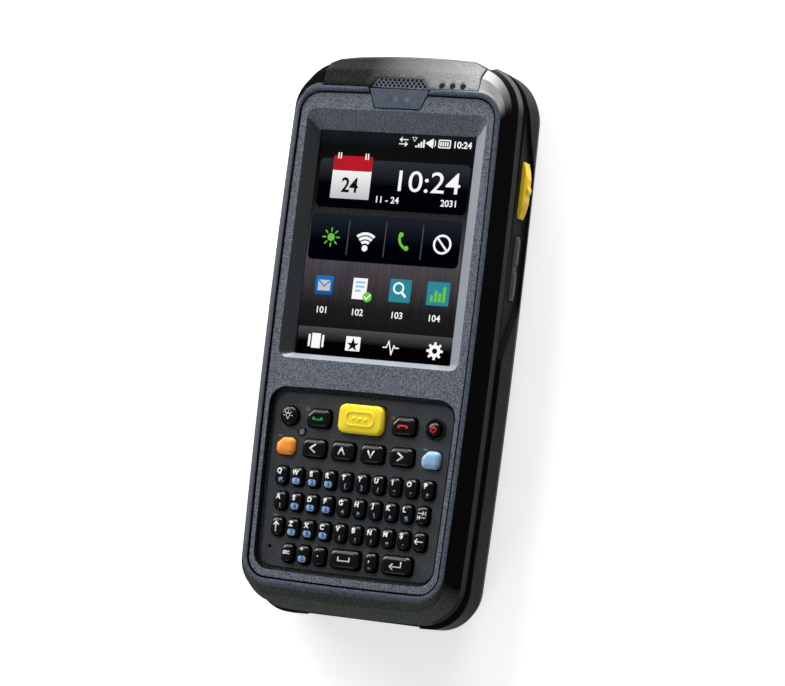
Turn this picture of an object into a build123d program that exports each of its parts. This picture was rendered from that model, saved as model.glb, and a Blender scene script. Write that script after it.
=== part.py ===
# Portable barcode data terminal, in millimetres.
# The terminal lies on its back: X across it, Y from the foot to the scanner head, Z out of the screen.
# The origin is at the middle of the bounding box's base.

import os
from math import cos, radians, sin

from build123d import *

os.makedirs("parts", exist_ok=True)

# Shell: the rim is the raised frame round the fascia, the shell is the housing's widest outline.
overall_depth = 32.0
cap_end_step = 1.0
foot_step = 1.7
waist_y = 14.0
side_curve_radius = 3060.0
head_border = 13.88
foot_border = 7.45
rim_radius = 8.5
side_swell = 1.7
head_swell = 10.9
foot_swell = 6.6
shell_head_radius = 15.5
shell_foot_radius = 13.0
head_bow = 2.2
foot_bow = 0.9
rim_bow = 0.4
front_drop = 10.2
flare_height = 2.4
flare_spread = 0.7
shell_spread_at_ledge = 0.8
section_angles = (0, 30, 60, 90)

# Parting line: a soft seal shows as a dark groove between the two shells.
seal_height = 3.4
seal_recess = 1.4
seal_width = 1.2

# Rear shell.
rear_side_step = 1.0
rear_head_step = 0.4
rear_round = 7.0
front_wall = 2.0
rear_wall = 2.2
back_wall = 2.0
foot_gap_half_width = 21.5
foot_gap_depth = 0.8
seam_groove_depth = 0.8

# Fascia: the plate that carries the display opening and the keypad opening.
rim_height = 0.4
rim_width = 1.6
groove_width = 0.55
fascia_thickness = 3.2
ledge_width = 0.9
ledge_thickness = 1.8

# Display, a 3.5 inch portrait panel with four to three sides.
active_width = 53.28
active_length = 71.04
active_margin = 0.2
active_radius = 0.5
display_y = 27.7
bevel_width = 4.0
bevel_foot = 1.7
bevel_head = 6.3
bevel_radius = 3.0
bevel_lip = 0.4
gasket_thickness = 0.5
gasket_width = 1.6
window_border = 3.6
window_side = 3.31
window_thickness = 1.1
module_thickness = 2.6
module_border = 2.8

# Keypad.
keypad_head_lip = 3.8
keypad_side = 4.1
keypad_lip = 1.45
keypad_foot_lip = 2.2
keypad_radius = 5.6
panel_gap = 1.4
panel_rise = 0.8
panel_flange = 1.0
key_proud = 2.1
key_clearance = 0.22
key_collar_side = 0.3
key_collar_end = 0.6
key_collar_height = 0.7
key_edge = 0.8
panel_capture = 0.4
mat_border = 1.0
mat_side = 2.3
mat_inset = 1.2
mic_radius = 1.6
mic_height = 1.2
mic_clearance = 0.2
key_play = 0.1
key_travel = 0.4
key_stop_gap = 0.1
mat_thickness = 0.9
board_thickness = 1.0
guard_inner_radius = 2.75
guard_width = 0.55
guard_rise = 0.8
guard_notch = 1.0
guard_notch_count = 4
lens_radius = 1.1
lens_rise = 0.15
lens_x = -20.4
lens_y = -32.4
mic_hole_radius = 0.6
mic_x = -26.8
mic_y = -69.0

# Key sizes and places.
small_width = 4.4
small_length = 5.9
key_corner = 0.95
arrow_width = 8.2
arrow_length = 5.8
call_width = 8.2
function_width = 6.2
function_length = 5.6
function_corner = 1.9
scan_width = 15.4
scan_length = 9.2
scan_radius = 1.9
scan_dish_width = 8.6
scan_dish_length = 3.8
scan_dish_depth = 0.35
light_radius = 3.1
power_radius = 2.25
wide_width = 10.4
call_row_y = -27.9
scan_row_y = -27.0
arrow_row_y = -37.4
upper_row_y = -46.7
middle_row_y = -54.6
lower_row_y = -62.7
space_row_y = -70.6
outer_column_x = 24.9
call_column_x = 14.6
arrow_pitch = 10.0
upper_pitch = 5.58
middle_pitch = 5.42
lower_pitch = 5.42
space_pitch = 5.45
wide_pitch = 8.8

# Scanner head.
cap_half_width = 26.7
cap_bottom_z = 7.0
cap_wall = 2.0
cap_seam = 0.25
cap_end_cut = 6.2
cap_end_start = 0.7
cap_end_rake = 4.0
scan_window_width = 34.0
scan_window_height = 9.0
scan_window_z = 16.0
scan_window_thickness = 1.6
scan_window_recess = 0.9
engine_width = 22.0
engine_length = 15.0
engine_height = 12.0
engine_nose = 1.2
engine_aperture_radius = 3.5
scan_window_radius = 1.5
lens_window_head_half = 10.7
lens_window_foot_half = 8.0
lens_window_length = 6.7
lens_window_thickness = 1.5
lens_window_rise = 0.15
grille_head_half = 8.0
grille_foot_half = 10.4
grille_length = 3.0
grille_sink = 0.9
grille_thickness = 0.8
grille_hole_radius = 0.5
grille_pitch = 1.5
grille_row_pitch = 0.88
grille_rows = 3
grille_margin = 0.8
grille_rest = 0.8
earpiece_width = 14.0
earpiece_length = 2.6
earpiece_height = 2.5
earpiece_neck = 1.8
led_radius = 0.95
led_pitch = 3.55
led_count = 3
led_first_x = 14.3
led_inset = 1.35
led_sink = 0.5
led_length = 2.0
seam_width = 0.25
lens_window_radius = 0.8
lens_window_gap = 0.35

# Side controls, set in a scoop of the rear shell.
scoop_depth = 1.5
scoop_floor_z = 6.2
scoop_head_y = 76.0
scoop_foot_y = -4.0
scoop_head_run = 20.0
scoop_foot_run = 17.0
scoop_step = 4.5
scoop_radius = 6.0
control_edge = 0.4
control_chamfer = 0.7
pad_thickness = 1.6
trigger_y = 50.0
trigger_drop = 4.6
trigger_length = 17.8
trigger_height = 4.4
trigger_proud = 1.9
trigger_taper = 5.0
trigger_bump_radius = 2.2
trigger_bump_rise = 0.45
side_clearance = 0.2
side_collar = 0.8
side_collar_thickness = 0.9
volume_y = 25.4
volume_drop = 4.6
volume_length = 20.3
volume_height = 3.3
volume_proud = 0.9
volume_notch_length = 2.4
volume_notch_depth = 0.5
volume_taper = 1.6
volume_play = 0.35
trunnion_radius = 0.45
trunnion_reach = 0.9
trunnion_clearance = 0.1

# Battery, in a bay that opens through the back.
battery_width = 54.0
battery_head_y = 22.0
battery_foot_y = -62.0
battery_depth = 12.0
battery_radius = 4.0
battery_clearance = 0.25
bay_wall = 1.3
cover_thickness = 2.0
pack_margin = 1.5
grip_groove_length = 30.0
grip_groove_width = 1.6
grip_groove_depth = 0.6
grip_groove_pitch = 3.2
grip_groove_count = 5
latch_width = 18.0
latch_length = 7.0
latch_thickness = 1.6
latch_gap = 2.4
latch_travel = 3.0
latch_clearance = 0.2
latch_rib_count = 4
latch_rib_pitch = 1.3
latch_rib_width = 0.6
latch_rib_height = 0.4
latch_sink = 0.6
latch_floor = 1.2
latch_stem_width = 4.0
latch_stem_length = 2.0
latch_stem_reach = 1.0
latch_margin = 2.0
contact_count = 4
contact_pitch = 4.0
contact_width = 1.6
contact_height = 2.4
contact_z = 5.0
contact_sink = 0.05
contact_reach = 1.0
grip_inset = 12.0
pack_radius = 1.5

# Sound, docking and fasteners.
speaker_radius = 8.0
speaker_depth = 3.4
speaker_x = 18.0
speaker_y = 42.0
slot_length = 9.0
slot_width = 1.2
slot_pitch = 2.4
slot_count = 5
dock_width = 26.0
dock_height = 4.4
dock_depth = 6.0
dock_radius = 1.0
dock_shroud = 0.7
dock_mouth = 4.0
dock_tongue_width = 22.0
dock_tongue_height = 1.2
dock_z = 9.5
main_board_half_width = 31.0
main_board_head_y = 73.0
main_board_foot_y = -30.0
screw_radius = 1.0
screw_head_radius = 2.0
screw_head_height = 1.5
screw_sink = 1.2
screw_reach = 5.5
boss_radius = 2.7
boss_sides = 8
boss_web = 1.6
boss_x = 30.0
boss_head_y = 71.5
boss_foot_y = -73.0
boss_clearance = 0.3
screw_clearance = 0.1

# Outline that follows from the sizes above: the wider of keypad and display sets the width.
keypad_half_width = outer_column_x + function_width / 2 + keypad_side
display_half_width = active_width / 2 + window_border + window_side
fascia_half_width = max(keypad_half_width + keypad_lip, display_half_width)
rim_half_width = fascia_half_width + groove_width + rim_width
shell_half_width = rim_half_width + side_swell
rear_half_width = shell_half_width + rear_side_step
rim_head_y = display_y + active_length / 2 + head_border
shell_head_y = rim_head_y + head_swell
rear_head_y = shell_head_y + rear_head_step
head_end_y = shell_head_y + cap_end_step
rim_foot_y = space_row_y - small_length / 2 - foot_border
shell_foot_y = rim_foot_y - foot_swell
foot_end_y = shell_foot_y - foot_step
keypad_head_y = scan_row_y + scan_length / 2 + keypad_head_lip
mat_half_width = keypad_half_width - mat_side

# Levels that follow from the sizes above.
rim_z = overall_depth
face_z = rim_z - rim_height
fascia_bottom_z = face_z - fascia_thickness
shell_z = rim_z - front_drop
split_front_z = shell_z - flare_height
split_rear_z = split_front_z - seal_height
window_top_z = fascia_bottom_z - gasket_thickness
module_top_z = window_top_z - window_thickness
module_bottom_z = module_top_z - module_thickness
panel_top_z = fascia_bottom_z + panel_rise
panel_bottom_z = fascia_bottom_z - panel_flange
key_top_z = panel_top_z + key_proud
collar_top_z = panel_bottom_z - key_play
key_bottom_z = collar_top_z - key_collar_height
mat_top_z = key_bottom_z - key_travel - key_stop_gap
mat_bottom_z = mat_top_z - mat_thickness
ledge_bottom_z = fascia_bottom_z - ledge_thickness
grille_bottom_z = rim_z - grille_sink - grille_thickness
fascia_head_y = rim_head_y - rim_width - groove_width
fascia_foot_y = rim_foot_y + rim_width + groove_width
fascia_radius = rim_radius - rim_width - groove_width
opening_width = active_width + 2 * active_margin
opening_length = active_length + 2 * active_margin
keypad_foot_y = fascia_foot_y + keypad_foot_lip
mat_length = keypad_head_y - keypad_foot_y - 2 * mat_inset
mat_corner = keypad_radius - mat_inset
scoop_x = rear_half_width - scoop_depth
pad_x = scoop_x - pad_thickness
trunnion_x = scoop_x - pad_thickness / 2
trigger_z = split_rear_z - trigger_drop
volume_z = split_rear_z - volume_drop
trunnion_bottom_z = volume_z - volume_height / 2 - trunnion_reach
trunnion_length = volume_height + 2 * trunnion_reach
bay_top_z = battery_depth + battery_clearance
bay_middle_y = (battery_head_y + battery_foot_y) / 2
battery_length = battery_head_y - battery_foot_y
pocket_head_y = battery_head_y - pack_margin + battery_clearance
contact_wall = pack_margin + bay_wall
latch_y = battery_foot_y - latch_gap - latch_length / 2
boss_places = [(side * boss_x, y) for y in (boss_head_y, boss_foot_y) for side in (-1, 1)]


def side_x(half_width, y):
    # The long sides bow: widest at the waist, narrower towards both ends.
    return half_width - (y - waist_y) ** 2 / (2 * side_curve_radius)


def plan_outline(half_width, head_y, foot_y, head_radius, foot_radius, bow_head, bow_foot):
    # Closed plan outline with bowed sides and ends and rounded corners.
    middle_y = (head_y + foot_y) / 2
    head_x = side_x(half_width, head_y)
    foot_x = side_x(half_width, foot_y)
    middle_x = side_x(half_width, middle_y)
    with BuildSketch() as plan:
        with BuildLine():
            ThreePointArc((foot_x, foot_y + bow_foot), (middle_x, middle_y), (head_x, head_y - bow_head))
            ThreePointArc((head_x, head_y - bow_head), (0, head_y), (-head_x, head_y - bow_head))
            ThreePointArc((-head_x, head_y - bow_head), (-middle_x, middle_y), (-foot_x, foot_y + bow_foot))
            ThreePointArc((-foot_x, foot_y + bow_foot), (0, foot_y), (foot_x, foot_y + bow_foot))
        make_face()
        fillet(plan.vertices().group_by(Axis.Y)[-1], head_radius)
        fillet(plan.vertices().sort_by(Axis.Y)[:2], foot_radius)
    return plan.sketch


def shell_plan(spread, inset=0.0, head_y=shell_head_y):
    # Front shell outline between the rim (spread 0) and the widest section (spread 1).
    return plan_outline(
        rim_half_width + (shell_half_width - rim_half_width) * spread - inset,
        rim_head_y + (head_y - rim_head_y) * spread - inset,
        rim_foot_y + (shell_foot_y - rim_foot_y) * spread + inset,
        rim_radius + (shell_head_radius - rim_radius) * spread - inset,
        rim_radius + (shell_foot_radius - rim_radius) * spread - inset,
        rim_bow + (head_bow - rim_bow) * spread,
        rim_bow + (foot_bow - rim_bow) * spread,
    )


def rear_plan(inset):
    return plan_outline(
        rear_half_width - inset,
        rear_head_y - inset,
        foot_end_y + inset,
        shell_head_radius - inset / 2,
        shell_foot_radius - inset / 2,
        head_bow,
        foot_bow,
    )


def fascia_plan(inset):
    return plan_outline(
        fascia_half_width - inset,
        fascia_head_y - inset,
        fascia_foot_y + inset,
        fascia_radius - inset,
        fascia_radius - inset,
        rim_bow,
        rim_bow,
    )


def keypad_plan(inset):
    return plan_outline(
        keypad_half_width - inset,
        keypad_head_y - inset,
        keypad_foot_y + inset,
        keypad_radius - inset,
        keypad_radius - inset,
        rim_bow,
        rim_bow,
    )


def cap_zone(side_gap):
    # The block of space that the scanner head's cap takes out of both shells.
    with BuildPart() as zone:
        with BuildSketch(Plane.XY.offset(cap_bottom_z)):
            with Locations((0, rim_head_y)):
                Rectangle(2 * (cap_half_width + side_gap), head_end_y, align=(Align.CENTER, Align.MIN))
        extrude(amount=overall_depth)
    return zone.part


def web_plan():
    # Webs that tie the screw bosses to the side walls.
    with BuildSketch() as plan:
        with Locations([(0, y) for y in (boss_head_y, boss_foot_y)]):
            Rectangle(2 * shell_half_width, boss_web)
            Rectangle(2 * boss_x, boss_web, mode=Mode.SUBTRACT)
        add(shell_plan(shell_spread_at_ledge, inset=front_wall / 2), mode=Mode.INTERSECT)
    return plan.sketch


def lens_window_plan(gap=0.0):
    # Trapezoid of the smooth window that interrupts the rim under the earpiece, less the gap.
    with BuildSketch() as plan:
        Polygon(
            (-lens_window_head_half, rim_head_y),
            (lens_window_head_half, rim_head_y),
            (lens_window_foot_half, rim_head_y - lens_window_length),
            (-lens_window_foot_half, rim_head_y - lens_window_length),
            align=None,
        )
        fillet(plan.vertices().sort_by(Axis.Y)[:2], lens_window_radius)
        if gap:
            offset(amount=-gap)
    return plan.sketch


def grille_plan(inset):
    # Trapezoid of the earpiece grille, just outside the rim.
    with BuildSketch() as plan:
        Polygon(
            (-grille_foot_half + inset, rim_head_y + seam_width),
            (grille_foot_half - inset, rim_head_y + seam_width),
            (grille_head_half - inset, rim_head_y + seam_width + grille_length - inset),
            (-grille_head_half + inset, rim_head_y + seam_width + grille_length - inset),
            align=None,
        )
    return plan.sketch


def grille_holes():
    # Staggered rows of holes, as many in each as the trapezoid takes beside its margin.
    holes = []
    for row in range(grille_rows):
        height = grille_length / 2 + (row - (grille_rows - 1) / 2) * grille_row_pitch
        reach = grille_foot_half - (grille_foot_half - grille_head_half) * height / grille_length
        start = (row + 1) % 2 / 2
        count = int((reach - grille_margin) / grille_pitch - start)
        for step in range(count + 1):
            for side in (-1, 1):
                hole = (side * (start + step) * grille_pitch, rim_head_y + seam_width + height)
                if hole not in holes:
                    holes.append(hole)
    return holes


def key_plan(kind, width, length):
    # Outline of a key or, with the clearance added, of its hole.
    with BuildSketch() as plan:
        if kind == "round":
            Circle(width / 2)
        elif kind == "scan":
            RectangleRounded(width, length, scan_radius)
        else:
            Rectangle(width, length)
            corners = plan.vertices().sort_by(Axis.Y)
            chamfer(corners[:2], key_corner)
            chamfer(corners[2:].sort_by(Axis.X)[-1], key_corner)
            chamfer(corners[2:].sort_by(Axis.X)[0], function_corner if kind == "cut" else key_corner)
    return plan.sketch


def key_solid(kind, width, length, x, y):
    # A collar under the panel keeps the key in; the head has a bevelled top edge.
    with BuildPart() as key:
        with BuildSketch(Plane.XY.offset(key_bottom_z)):
            with Locations((x, y)):
                Rectangle(width + 2 * key_collar_side, length + 2 * key_collar_end)
        extrude(amount=key_collar_height)
        with BuildSketch(Plane.XY.offset(collar_top_z)):
            with Locations((x, y)):
                add(key_plan(kind, width, length))
        extrude(amount=key_top_z - collar_top_z)
        chamfer(key.faces().sort_by(Axis.Z)[-1].edges(), key_edge)
    return key.part


def save(part, name):
    part.label = name
    export_step(part, f"parts/{name}.step")
    print(name, part.is_valid, round(part.volume, 1), len(part.solids()))


# Front housing: a domed shell under a raised rim, with a flared lip at the parting line.
with BuildPart() as front_housing:
    for angle in section_angles:
        with BuildSketch(Plane.XY.offset(rim_z - front_drop * (1 - cos(radians(angle))))):
            add(shell_plan(sin(radians(angle))))
    loft(ruled=True)
    with BuildSketch(Plane.XY.offset(shell_z)):
        add(shell_plan(1.0))
    with BuildSketch(Plane.XY.offset(split_front_z)):
        add(shell_plan(1.0, inset=-flare_spread))
    loft(ruled=True)
    with BuildSketch(Plane.XY.offset(split_front_z)):
        add(shell_plan(1.0, inset=front_wall))
    with BuildSketch(Plane.XY.offset(ledge_bottom_z)):
        add(shell_plan(shell_spread_at_ledge, inset=front_wall))
    loft(ruled=True, mode=Mode.SUBTRACT)
    with BuildSketch(Plane.XY.offset(ledge_bottom_z)):
        add(fascia_plan(ledge_width))
    extrude(amount=ledge_thickness, mode=Mode.SUBTRACT)
    with BuildSketch(Plane.XY.offset(fascia_bottom_z)):
        add(fascia_plan(-groove_width))
    extrude(amount=fascia_thickness + rim_height, mode=Mode.SUBTRACT)
    with BuildSketch(Plane.XY.offset(split_front_z)):
        add(web_plan())
    extrude(amount=ledge_bottom_z - split_front_z)
    with BuildSketch(Plane.XY.offset(split_rear_z)):
        with Locations(boss_places):
            RegularPolygon(boss_radius, boss_sides)
    extrude(amount=ledge_bottom_z - split_rear_z)
    with BuildSketch(Plane.XY.offset(split_rear_z)):
        with Locations(boss_places):
            RegularPolygon(screw_radius + screw_clearance, boss_sides)
    extrude(amount=screw_reach + screw_clearance, mode=Mode.SUBTRACT)
    add(cap_zone(cap_seam), mode=Mode.SUBTRACT)
    with BuildSketch(Plane.XY.offset(face_z - lens_window_thickness)):
        add(lens_window_plan())
    extrude(amount=overall_depth, mode=Mode.SUBTRACT)
save(front_housing.part, "front_housing")

# Parting seal: a ring between the shells, set back so that it reads as a groove.
with BuildPart() as housing_seal:
    with BuildSketch(Plane.XY.offset(split_rear_z)):
        add(rear_plan(seal_recess))
        add(rear_plan(seal_recess + seal_width), mode=Mode.SUBTRACT)
    extrude(amount=seal_height)
    add(cap_zone(cap_seam), mode=Mode.SUBTRACT)
save(housing_seal.part, "housing_seal")


def scoop_cut(side):
    # S-ended scoop in a long side, where the trigger and the volume key are set.
    with BuildPart() as scoop:
        with BuildSketch(Plane.YZ.offset(side * scoop_x)) as profile:
            with BuildLine():
                Polyline(
                    (scoop_foot_y, split_rear_z),
                    (scoop_foot_y + scoop_foot_run / 2, split_rear_z - scoop_step),
                    (scoop_foot_y + scoop_foot_run, scoop_floor_z),
                    (scoop_head_y - scoop_head_run, scoop_floor_z),
                    (scoop_head_y - scoop_head_run / 2, split_rear_z - scoop_step),
                    (scoop_head_y, split_rear_z),
                    close=True,
                )
            make_face()
            fillet(profile.vertices().group_by(Axis.Y)[0], scoop_radius)
            fillet(profile.vertices().sort_by(Axis.Y)[-4:-2], scoop_radius)
        extrude(amount=side * 2 * scoop_depth)
    return scoop.part


def rear_block(inset, bottom_z, edge, angles):
    # Solid of the rear shell's outline; its edge turns in towards the back through the angles.
    with BuildPart() as block:
        with BuildSketch(Plane.XY.offset(bottom_z + edge)):
            add(rear_plan(inset))
        extrude(amount=split_rear_z - bottom_z - edge)
        for angle in angles:
            with BuildSketch(Plane.XY.offset(bottom_z + edge * (1 - sin(radians(angle))))):
                add(rear_plan(inset + edge * (1 - cos(radians(angle)))))
        loft(ruled=True)
    return block.part


def side_slot(side, y, z, length, height):
    # Hole through the side pad for a side control.
    with BuildPart() as slot:
        with BuildSketch(Plane.YZ.offset(side * pad_x)):
            with Locations((y, z)):
                Rectangle(length + 2 * side_clearance, height + 2 * side_clearance)
        extrude(amount=side * pad_thickness)
    return slot.part


def pad_plan():
    # Thickening behind the scoops, up to the outer wall.
    with BuildSketch() as plan:
        add(rear_plan(rear_wall / 2))
        with Locations((0, (scoop_head_y + scoop_foot_y) / 2)):
            Rectangle(2 * rear_half_width, scoop_head_y - scoop_foot_y, mode=Mode.INTERSECT)
            Rectangle(2 * pad_x, scoop_head_y - scoop_foot_y, mode=Mode.SUBTRACT)
    return plan.sketch


def facing_head(y, z):
    # Sketch plane that faces the scanner end, at height z.
    return Plane(origin=(0, y, z), x_dir=(1, 0, 0), z_dir=(0, 1, 0))


contact_columns = [(index - (contact_count - 1) / 2) * contact_pitch for index in range(contact_count)]
speaker_rows = [(index - (slot_count - 1) / 2) * slot_pitch for index in range(slot_count)]

# Rear housing: shell, side pads, battery bay, latch seat, sound slots and dock opening.
with BuildPart() as rear_housing:
    add(rear_block(0.0, 0.0, rear_round, section_angles))
    add(rear_block(rear_wall, back_wall, rear_round - back_wall, (0, 90)), mode=Mode.SUBTRACT)
    with BuildSketch(Plane.XY.offset(scoop_floor_z - pad_thickness)):
        add(pad_plan())
    extrude(amount=split_rear_z - scoop_floor_z + pad_thickness)
    add(scoop_cut(1), mode=Mode.SUBTRACT)
    add(scoop_cut(-1), mode=Mode.SUBTRACT)
    add(side_slot(1, trigger_y, trigger_z, trigger_length, trigger_height), mode=Mode.SUBTRACT)
    add(side_slot(-1, trigger_y, trigger_z, trigger_length, trigger_height), mode=Mode.SUBTRACT)
    add(side_slot(1, volume_y, volume_z, volume_length, volume_height), mode=Mode.SUBTRACT)
    with BuildSketch(Plane.XY.offset(trunnion_bottom_z - trunnion_clearance)):
        with Locations((trunnion_x, volume_y)):
            Circle(trunnion_radius + trunnion_clearance)
    extrude(amount=trunnion_length + 2 * trunnion_clearance, mode=Mode.SUBTRACT)
    with BuildSketch(Plane.XY.offset(back_wall)):
        with Locations((0, bay_middle_y)):
            Rectangle(
                battery_width + 2 * (battery_clearance + bay_wall),
                battery_length + 2 * (battery_clearance + bay_wall),
            )
    extrude(amount=bay_top_z + bay_wall - back_wall)
    with BuildSketch():
        with Locations((0, bay_middle_y)):
            RectangleRounded(
                battery_width + 2 * battery_clearance,
                battery_length + 2 * battery_clearance,
                battery_radius + battery_clearance,
            )
    extrude(amount=cover_thickness + battery_clearance, mode=Mode.SUBTRACT)
    with BuildSketch():
        with Locations((0, bay_middle_y)):
            Rectangle(
                battery_width - 2 * pack_margin + 2 * battery_clearance,
                battery_length - 2 * pack_margin + 2 * battery_clearance,
            )
    extrude(amount=bay_top_z, mode=Mode.SUBTRACT)
    with BuildSketch(Plane.XY.offset(back_wall)):
        with Locations((0, latch_y - latch_travel / 2)):
            Rectangle(latch_width + 2 * latch_margin, latch_length + latch_travel + 2 * latch_margin)
    extrude(amount=latch_sink + latch_thickness + latch_floor - back_wall)
    with BuildSketch():
        with Locations((0, latch_y - latch_travel / 2)):
            Rectangle(latch_width + 2 * latch_clearance, latch_length + latch_travel + 2 * latch_clearance)
    extrude(amount=latch_sink + latch_thickness + latch_clearance, mode=Mode.SUBTRACT)
    with BuildSketch():
        with Locations((0, latch_y - latch_travel / 2)):
            Rectangle(
                latch_stem_width + 2 * latch_clearance,
                latch_stem_length + latch_travel + 2 * latch_clearance,
            )
    extrude(amount=latch_sink + latch_thickness + latch_floor, mode=Mode.SUBTRACT)
    with BuildSketch():
        with Locations([(speaker_x, speaker_y + row) for row in speaker_rows]):
            Rectangle(slot_length, slot_width)
    extrude(amount=back_wall, mode=Mode.SUBTRACT)
    with BuildSketch(Plane.XY.offset(back_wall)):
        with Locations(boss_places):
            RegularPolygon(boss_radius, boss_sides)
    extrude(amount=split_rear_z - back_wall)
    with BuildSketch():
        with Locations(boss_places):
            RegularPolygon(screw_radius + screw_clearance, boss_sides)
    extrude(amount=split_rear_z, mode=Mode.SUBTRACT)
    with BuildSketch():
        with Locations(boss_places):
            Circle(screw_head_radius + screw_clearance)
    extrude(amount=screw_sink + screw_head_height, mode=Mode.SUBTRACT)
    with BuildSketch():
        with Locations((0, foot_end_y)):
            Rectangle(2 * foot_gap_half_width, 2 * foot_gap_depth)
    extrude(amount=split_rear_z, mode=Mode.SUBTRACT)
    with BuildSketch(facing_head(foot_end_y, dock_z)):
        RectangleRounded(dock_width, dock_height, dock_radius)
    extrude(amount=rear_wall + foot_gap_depth, mode=Mode.SUBTRACT)
    with BuildSketch(Plane.XY.offset(contact_z)):
        with Locations([(x, pocket_head_y) for x in contact_columns]):
            Rectangle(contact_width, contact_wall, align=(Align.CENTER, Align.MIN))
    extrude(amount=contact_height, mode=Mode.SUBTRACT)
    add(cap_zone(cap_seam), mode=Mode.SUBTRACT)
save(rear_housing.part, "rear_housing")

# Scanner head cap: one moulding over the head, with the scan window at its end.
with BuildPart() as top_cap:
    for angle in section_angles:
        with BuildSketch(Plane.XY.offset(rim_z - front_drop * (1 - cos(radians(angle))))):
            add(shell_plan(sin(radians(angle)), head_y=head_end_y))
    loft(ruled=True)
    with BuildSketch(Plane.XY.offset(cap_bottom_z)):
        add(shell_plan(1.0, head_y=head_end_y))
    extrude(amount=shell_z - cap_bottom_z)
    for angle in section_angles:
        with BuildSketch(Plane.XY.offset(rim_z - cap_wall - front_drop * (1 - cos(radians(angle))))):
            add(shell_plan(sin(radians(angle)), inset=cap_wall, head_y=head_end_y))
    loft(ruled=True, mode=Mode.SUBTRACT)
    with BuildSketch(Plane.XY.offset(cap_bottom_z)):
        add(shell_plan(1.0, inset=cap_wall, head_y=head_end_y))
    extrude(amount=shell_z - cap_wall - cap_bottom_z, mode=Mode.SUBTRACT)
    add(cap_zone(0.0), mode=Mode.INTERSECT)
    with BuildSketch(Plane.XY.offset(cap_bottom_z)):
        for side in (-1, 1):
            Polygon(
                (side * (cap_half_width - cap_end_cut), head_end_y - cap_end_start),
                (side * cap_half_width, head_end_y - cap_end_rake),
                (side * cap_half_width, head_end_y),
                (side * (cap_half_width - cap_end_cut), head_end_y),
                align=None,
            )
    extrude(amount=overall_depth, mode=Mode.SUBTRACT)
    with BuildSketch(Plane.XY.offset(rim_z - seam_groove_depth)):
        with Locations((0, rim_head_y)):
            Rectangle(2 * cap_half_width, seam_width, align=(Align.CENTER, Align.MIN))
    extrude(amount=seam_groove_depth, mode=Mode.SUBTRACT)
    with BuildSketch(Plane.XY.offset(grille_bottom_z)):
        add(grille_plan(0.0))
    extrude(amount=grille_sink + grille_thickness, mode=Mode.SUBTRACT)
    with BuildSketch(Plane.XY.offset(rim_z - cap_wall - cap_wall)):
        add(grille_plan(grille_rest))
    extrude(amount=cap_wall + cap_wall, mode=Mode.SUBTRACT)
    with BuildSketch(Plane.XY.offset(shell_z)):
        for index in range(led_count):
            with Locations((led_first_x + index * led_pitch, rim_head_y + led_inset)):
                Circle(led_radius)
    extrude(amount=front_drop, mode=Mode.SUBTRACT)
    with BuildSketch(facing_head(rim_head_y, scan_window_z)):
        RectangleRounded(scan_window_width, scan_window_height, scan_window_radius)
    extrude(amount=head_end_y, mode=Mode.SUBTRACT)
save(top_cap.part, "top_cap")

window_inner_y = head_end_y - scan_window_recess - scan_window_thickness
with BuildPart() as scan_window:
    with BuildSketch(facing_head(window_inner_y, scan_window_z)):
        RectangleRounded(scan_window_width, scan_window_height, scan_window_radius)
    extrude(amount=scan_window_thickness)
save(scan_window.part, "scan_window")

# Scan engine: a sealed block under the main board, with its aperture against the window.
with BuildPart() as scan_engine:
    with BuildSketch(Plane.XY.offset(module_bottom_z - board_thickness - engine_height)):
        with Locations((0, window_inner_y - engine_nose)):
            Rectangle(engine_width, engine_length, align=(Align.CENTER, Align.MAX))
    extrude(amount=engine_height)
    with BuildSketch(facing_head(window_inner_y - engine_nose, scan_window_z)):
        Circle(engine_aperture_radius)
    extrude(amount=engine_nose)
save(scan_engine.part, "scan_engine")

with BuildPart() as earpiece_grille:
    with BuildSketch(Plane.XY.offset(grille_bottom_z)):
        add(grille_plan(0.0))
        with Locations(grille_holes()):
            RegularPolygon(grille_hole_radius, 6, mode=Mode.SUBTRACT)
    extrude(amount=grille_thickness)
save(earpiece_grille.part, "earpiece_grille")

with BuildPart() as earpiece:
    with BuildSketch(Plane.XY.offset(grille_bottom_z - earpiece_neck)):
        add(grille_plan(grille_rest))
    extrude(amount=earpiece_neck)
    with BuildSketch(Plane.XY.offset(grille_bottom_z - earpiece_neck - earpiece_height)):
        with Locations((0, rim_head_y + grille_rest)):
            Rectangle(earpiece_width, earpiece_length, align=(Align.CENTER, Align.MIN))
    extrude(amount=earpiece_height)
save(earpiece.part, "earpiece")

# Indicator lenses: three in the head's cap and one in the keypad panel.
with BuildPart() as indicator_lenses:
    with BuildSketch(Plane.XY.offset(rim_z - led_sink - led_length)):
        for index in range(led_count):
            with Locations((led_first_x + index * led_pitch, rim_head_y + led_inset)):
                Circle(led_radius)
    extrude(amount=led_length)
    with BuildSketch(Plane.XY.offset(panel_bottom_z)):
        with Locations((lens_x, lens_y)):
            Circle(lens_radius)
    extrude(amount=panel_flange + panel_rise + lens_rise)
save(indicator_lenses.part, "indicator_lenses")

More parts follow.
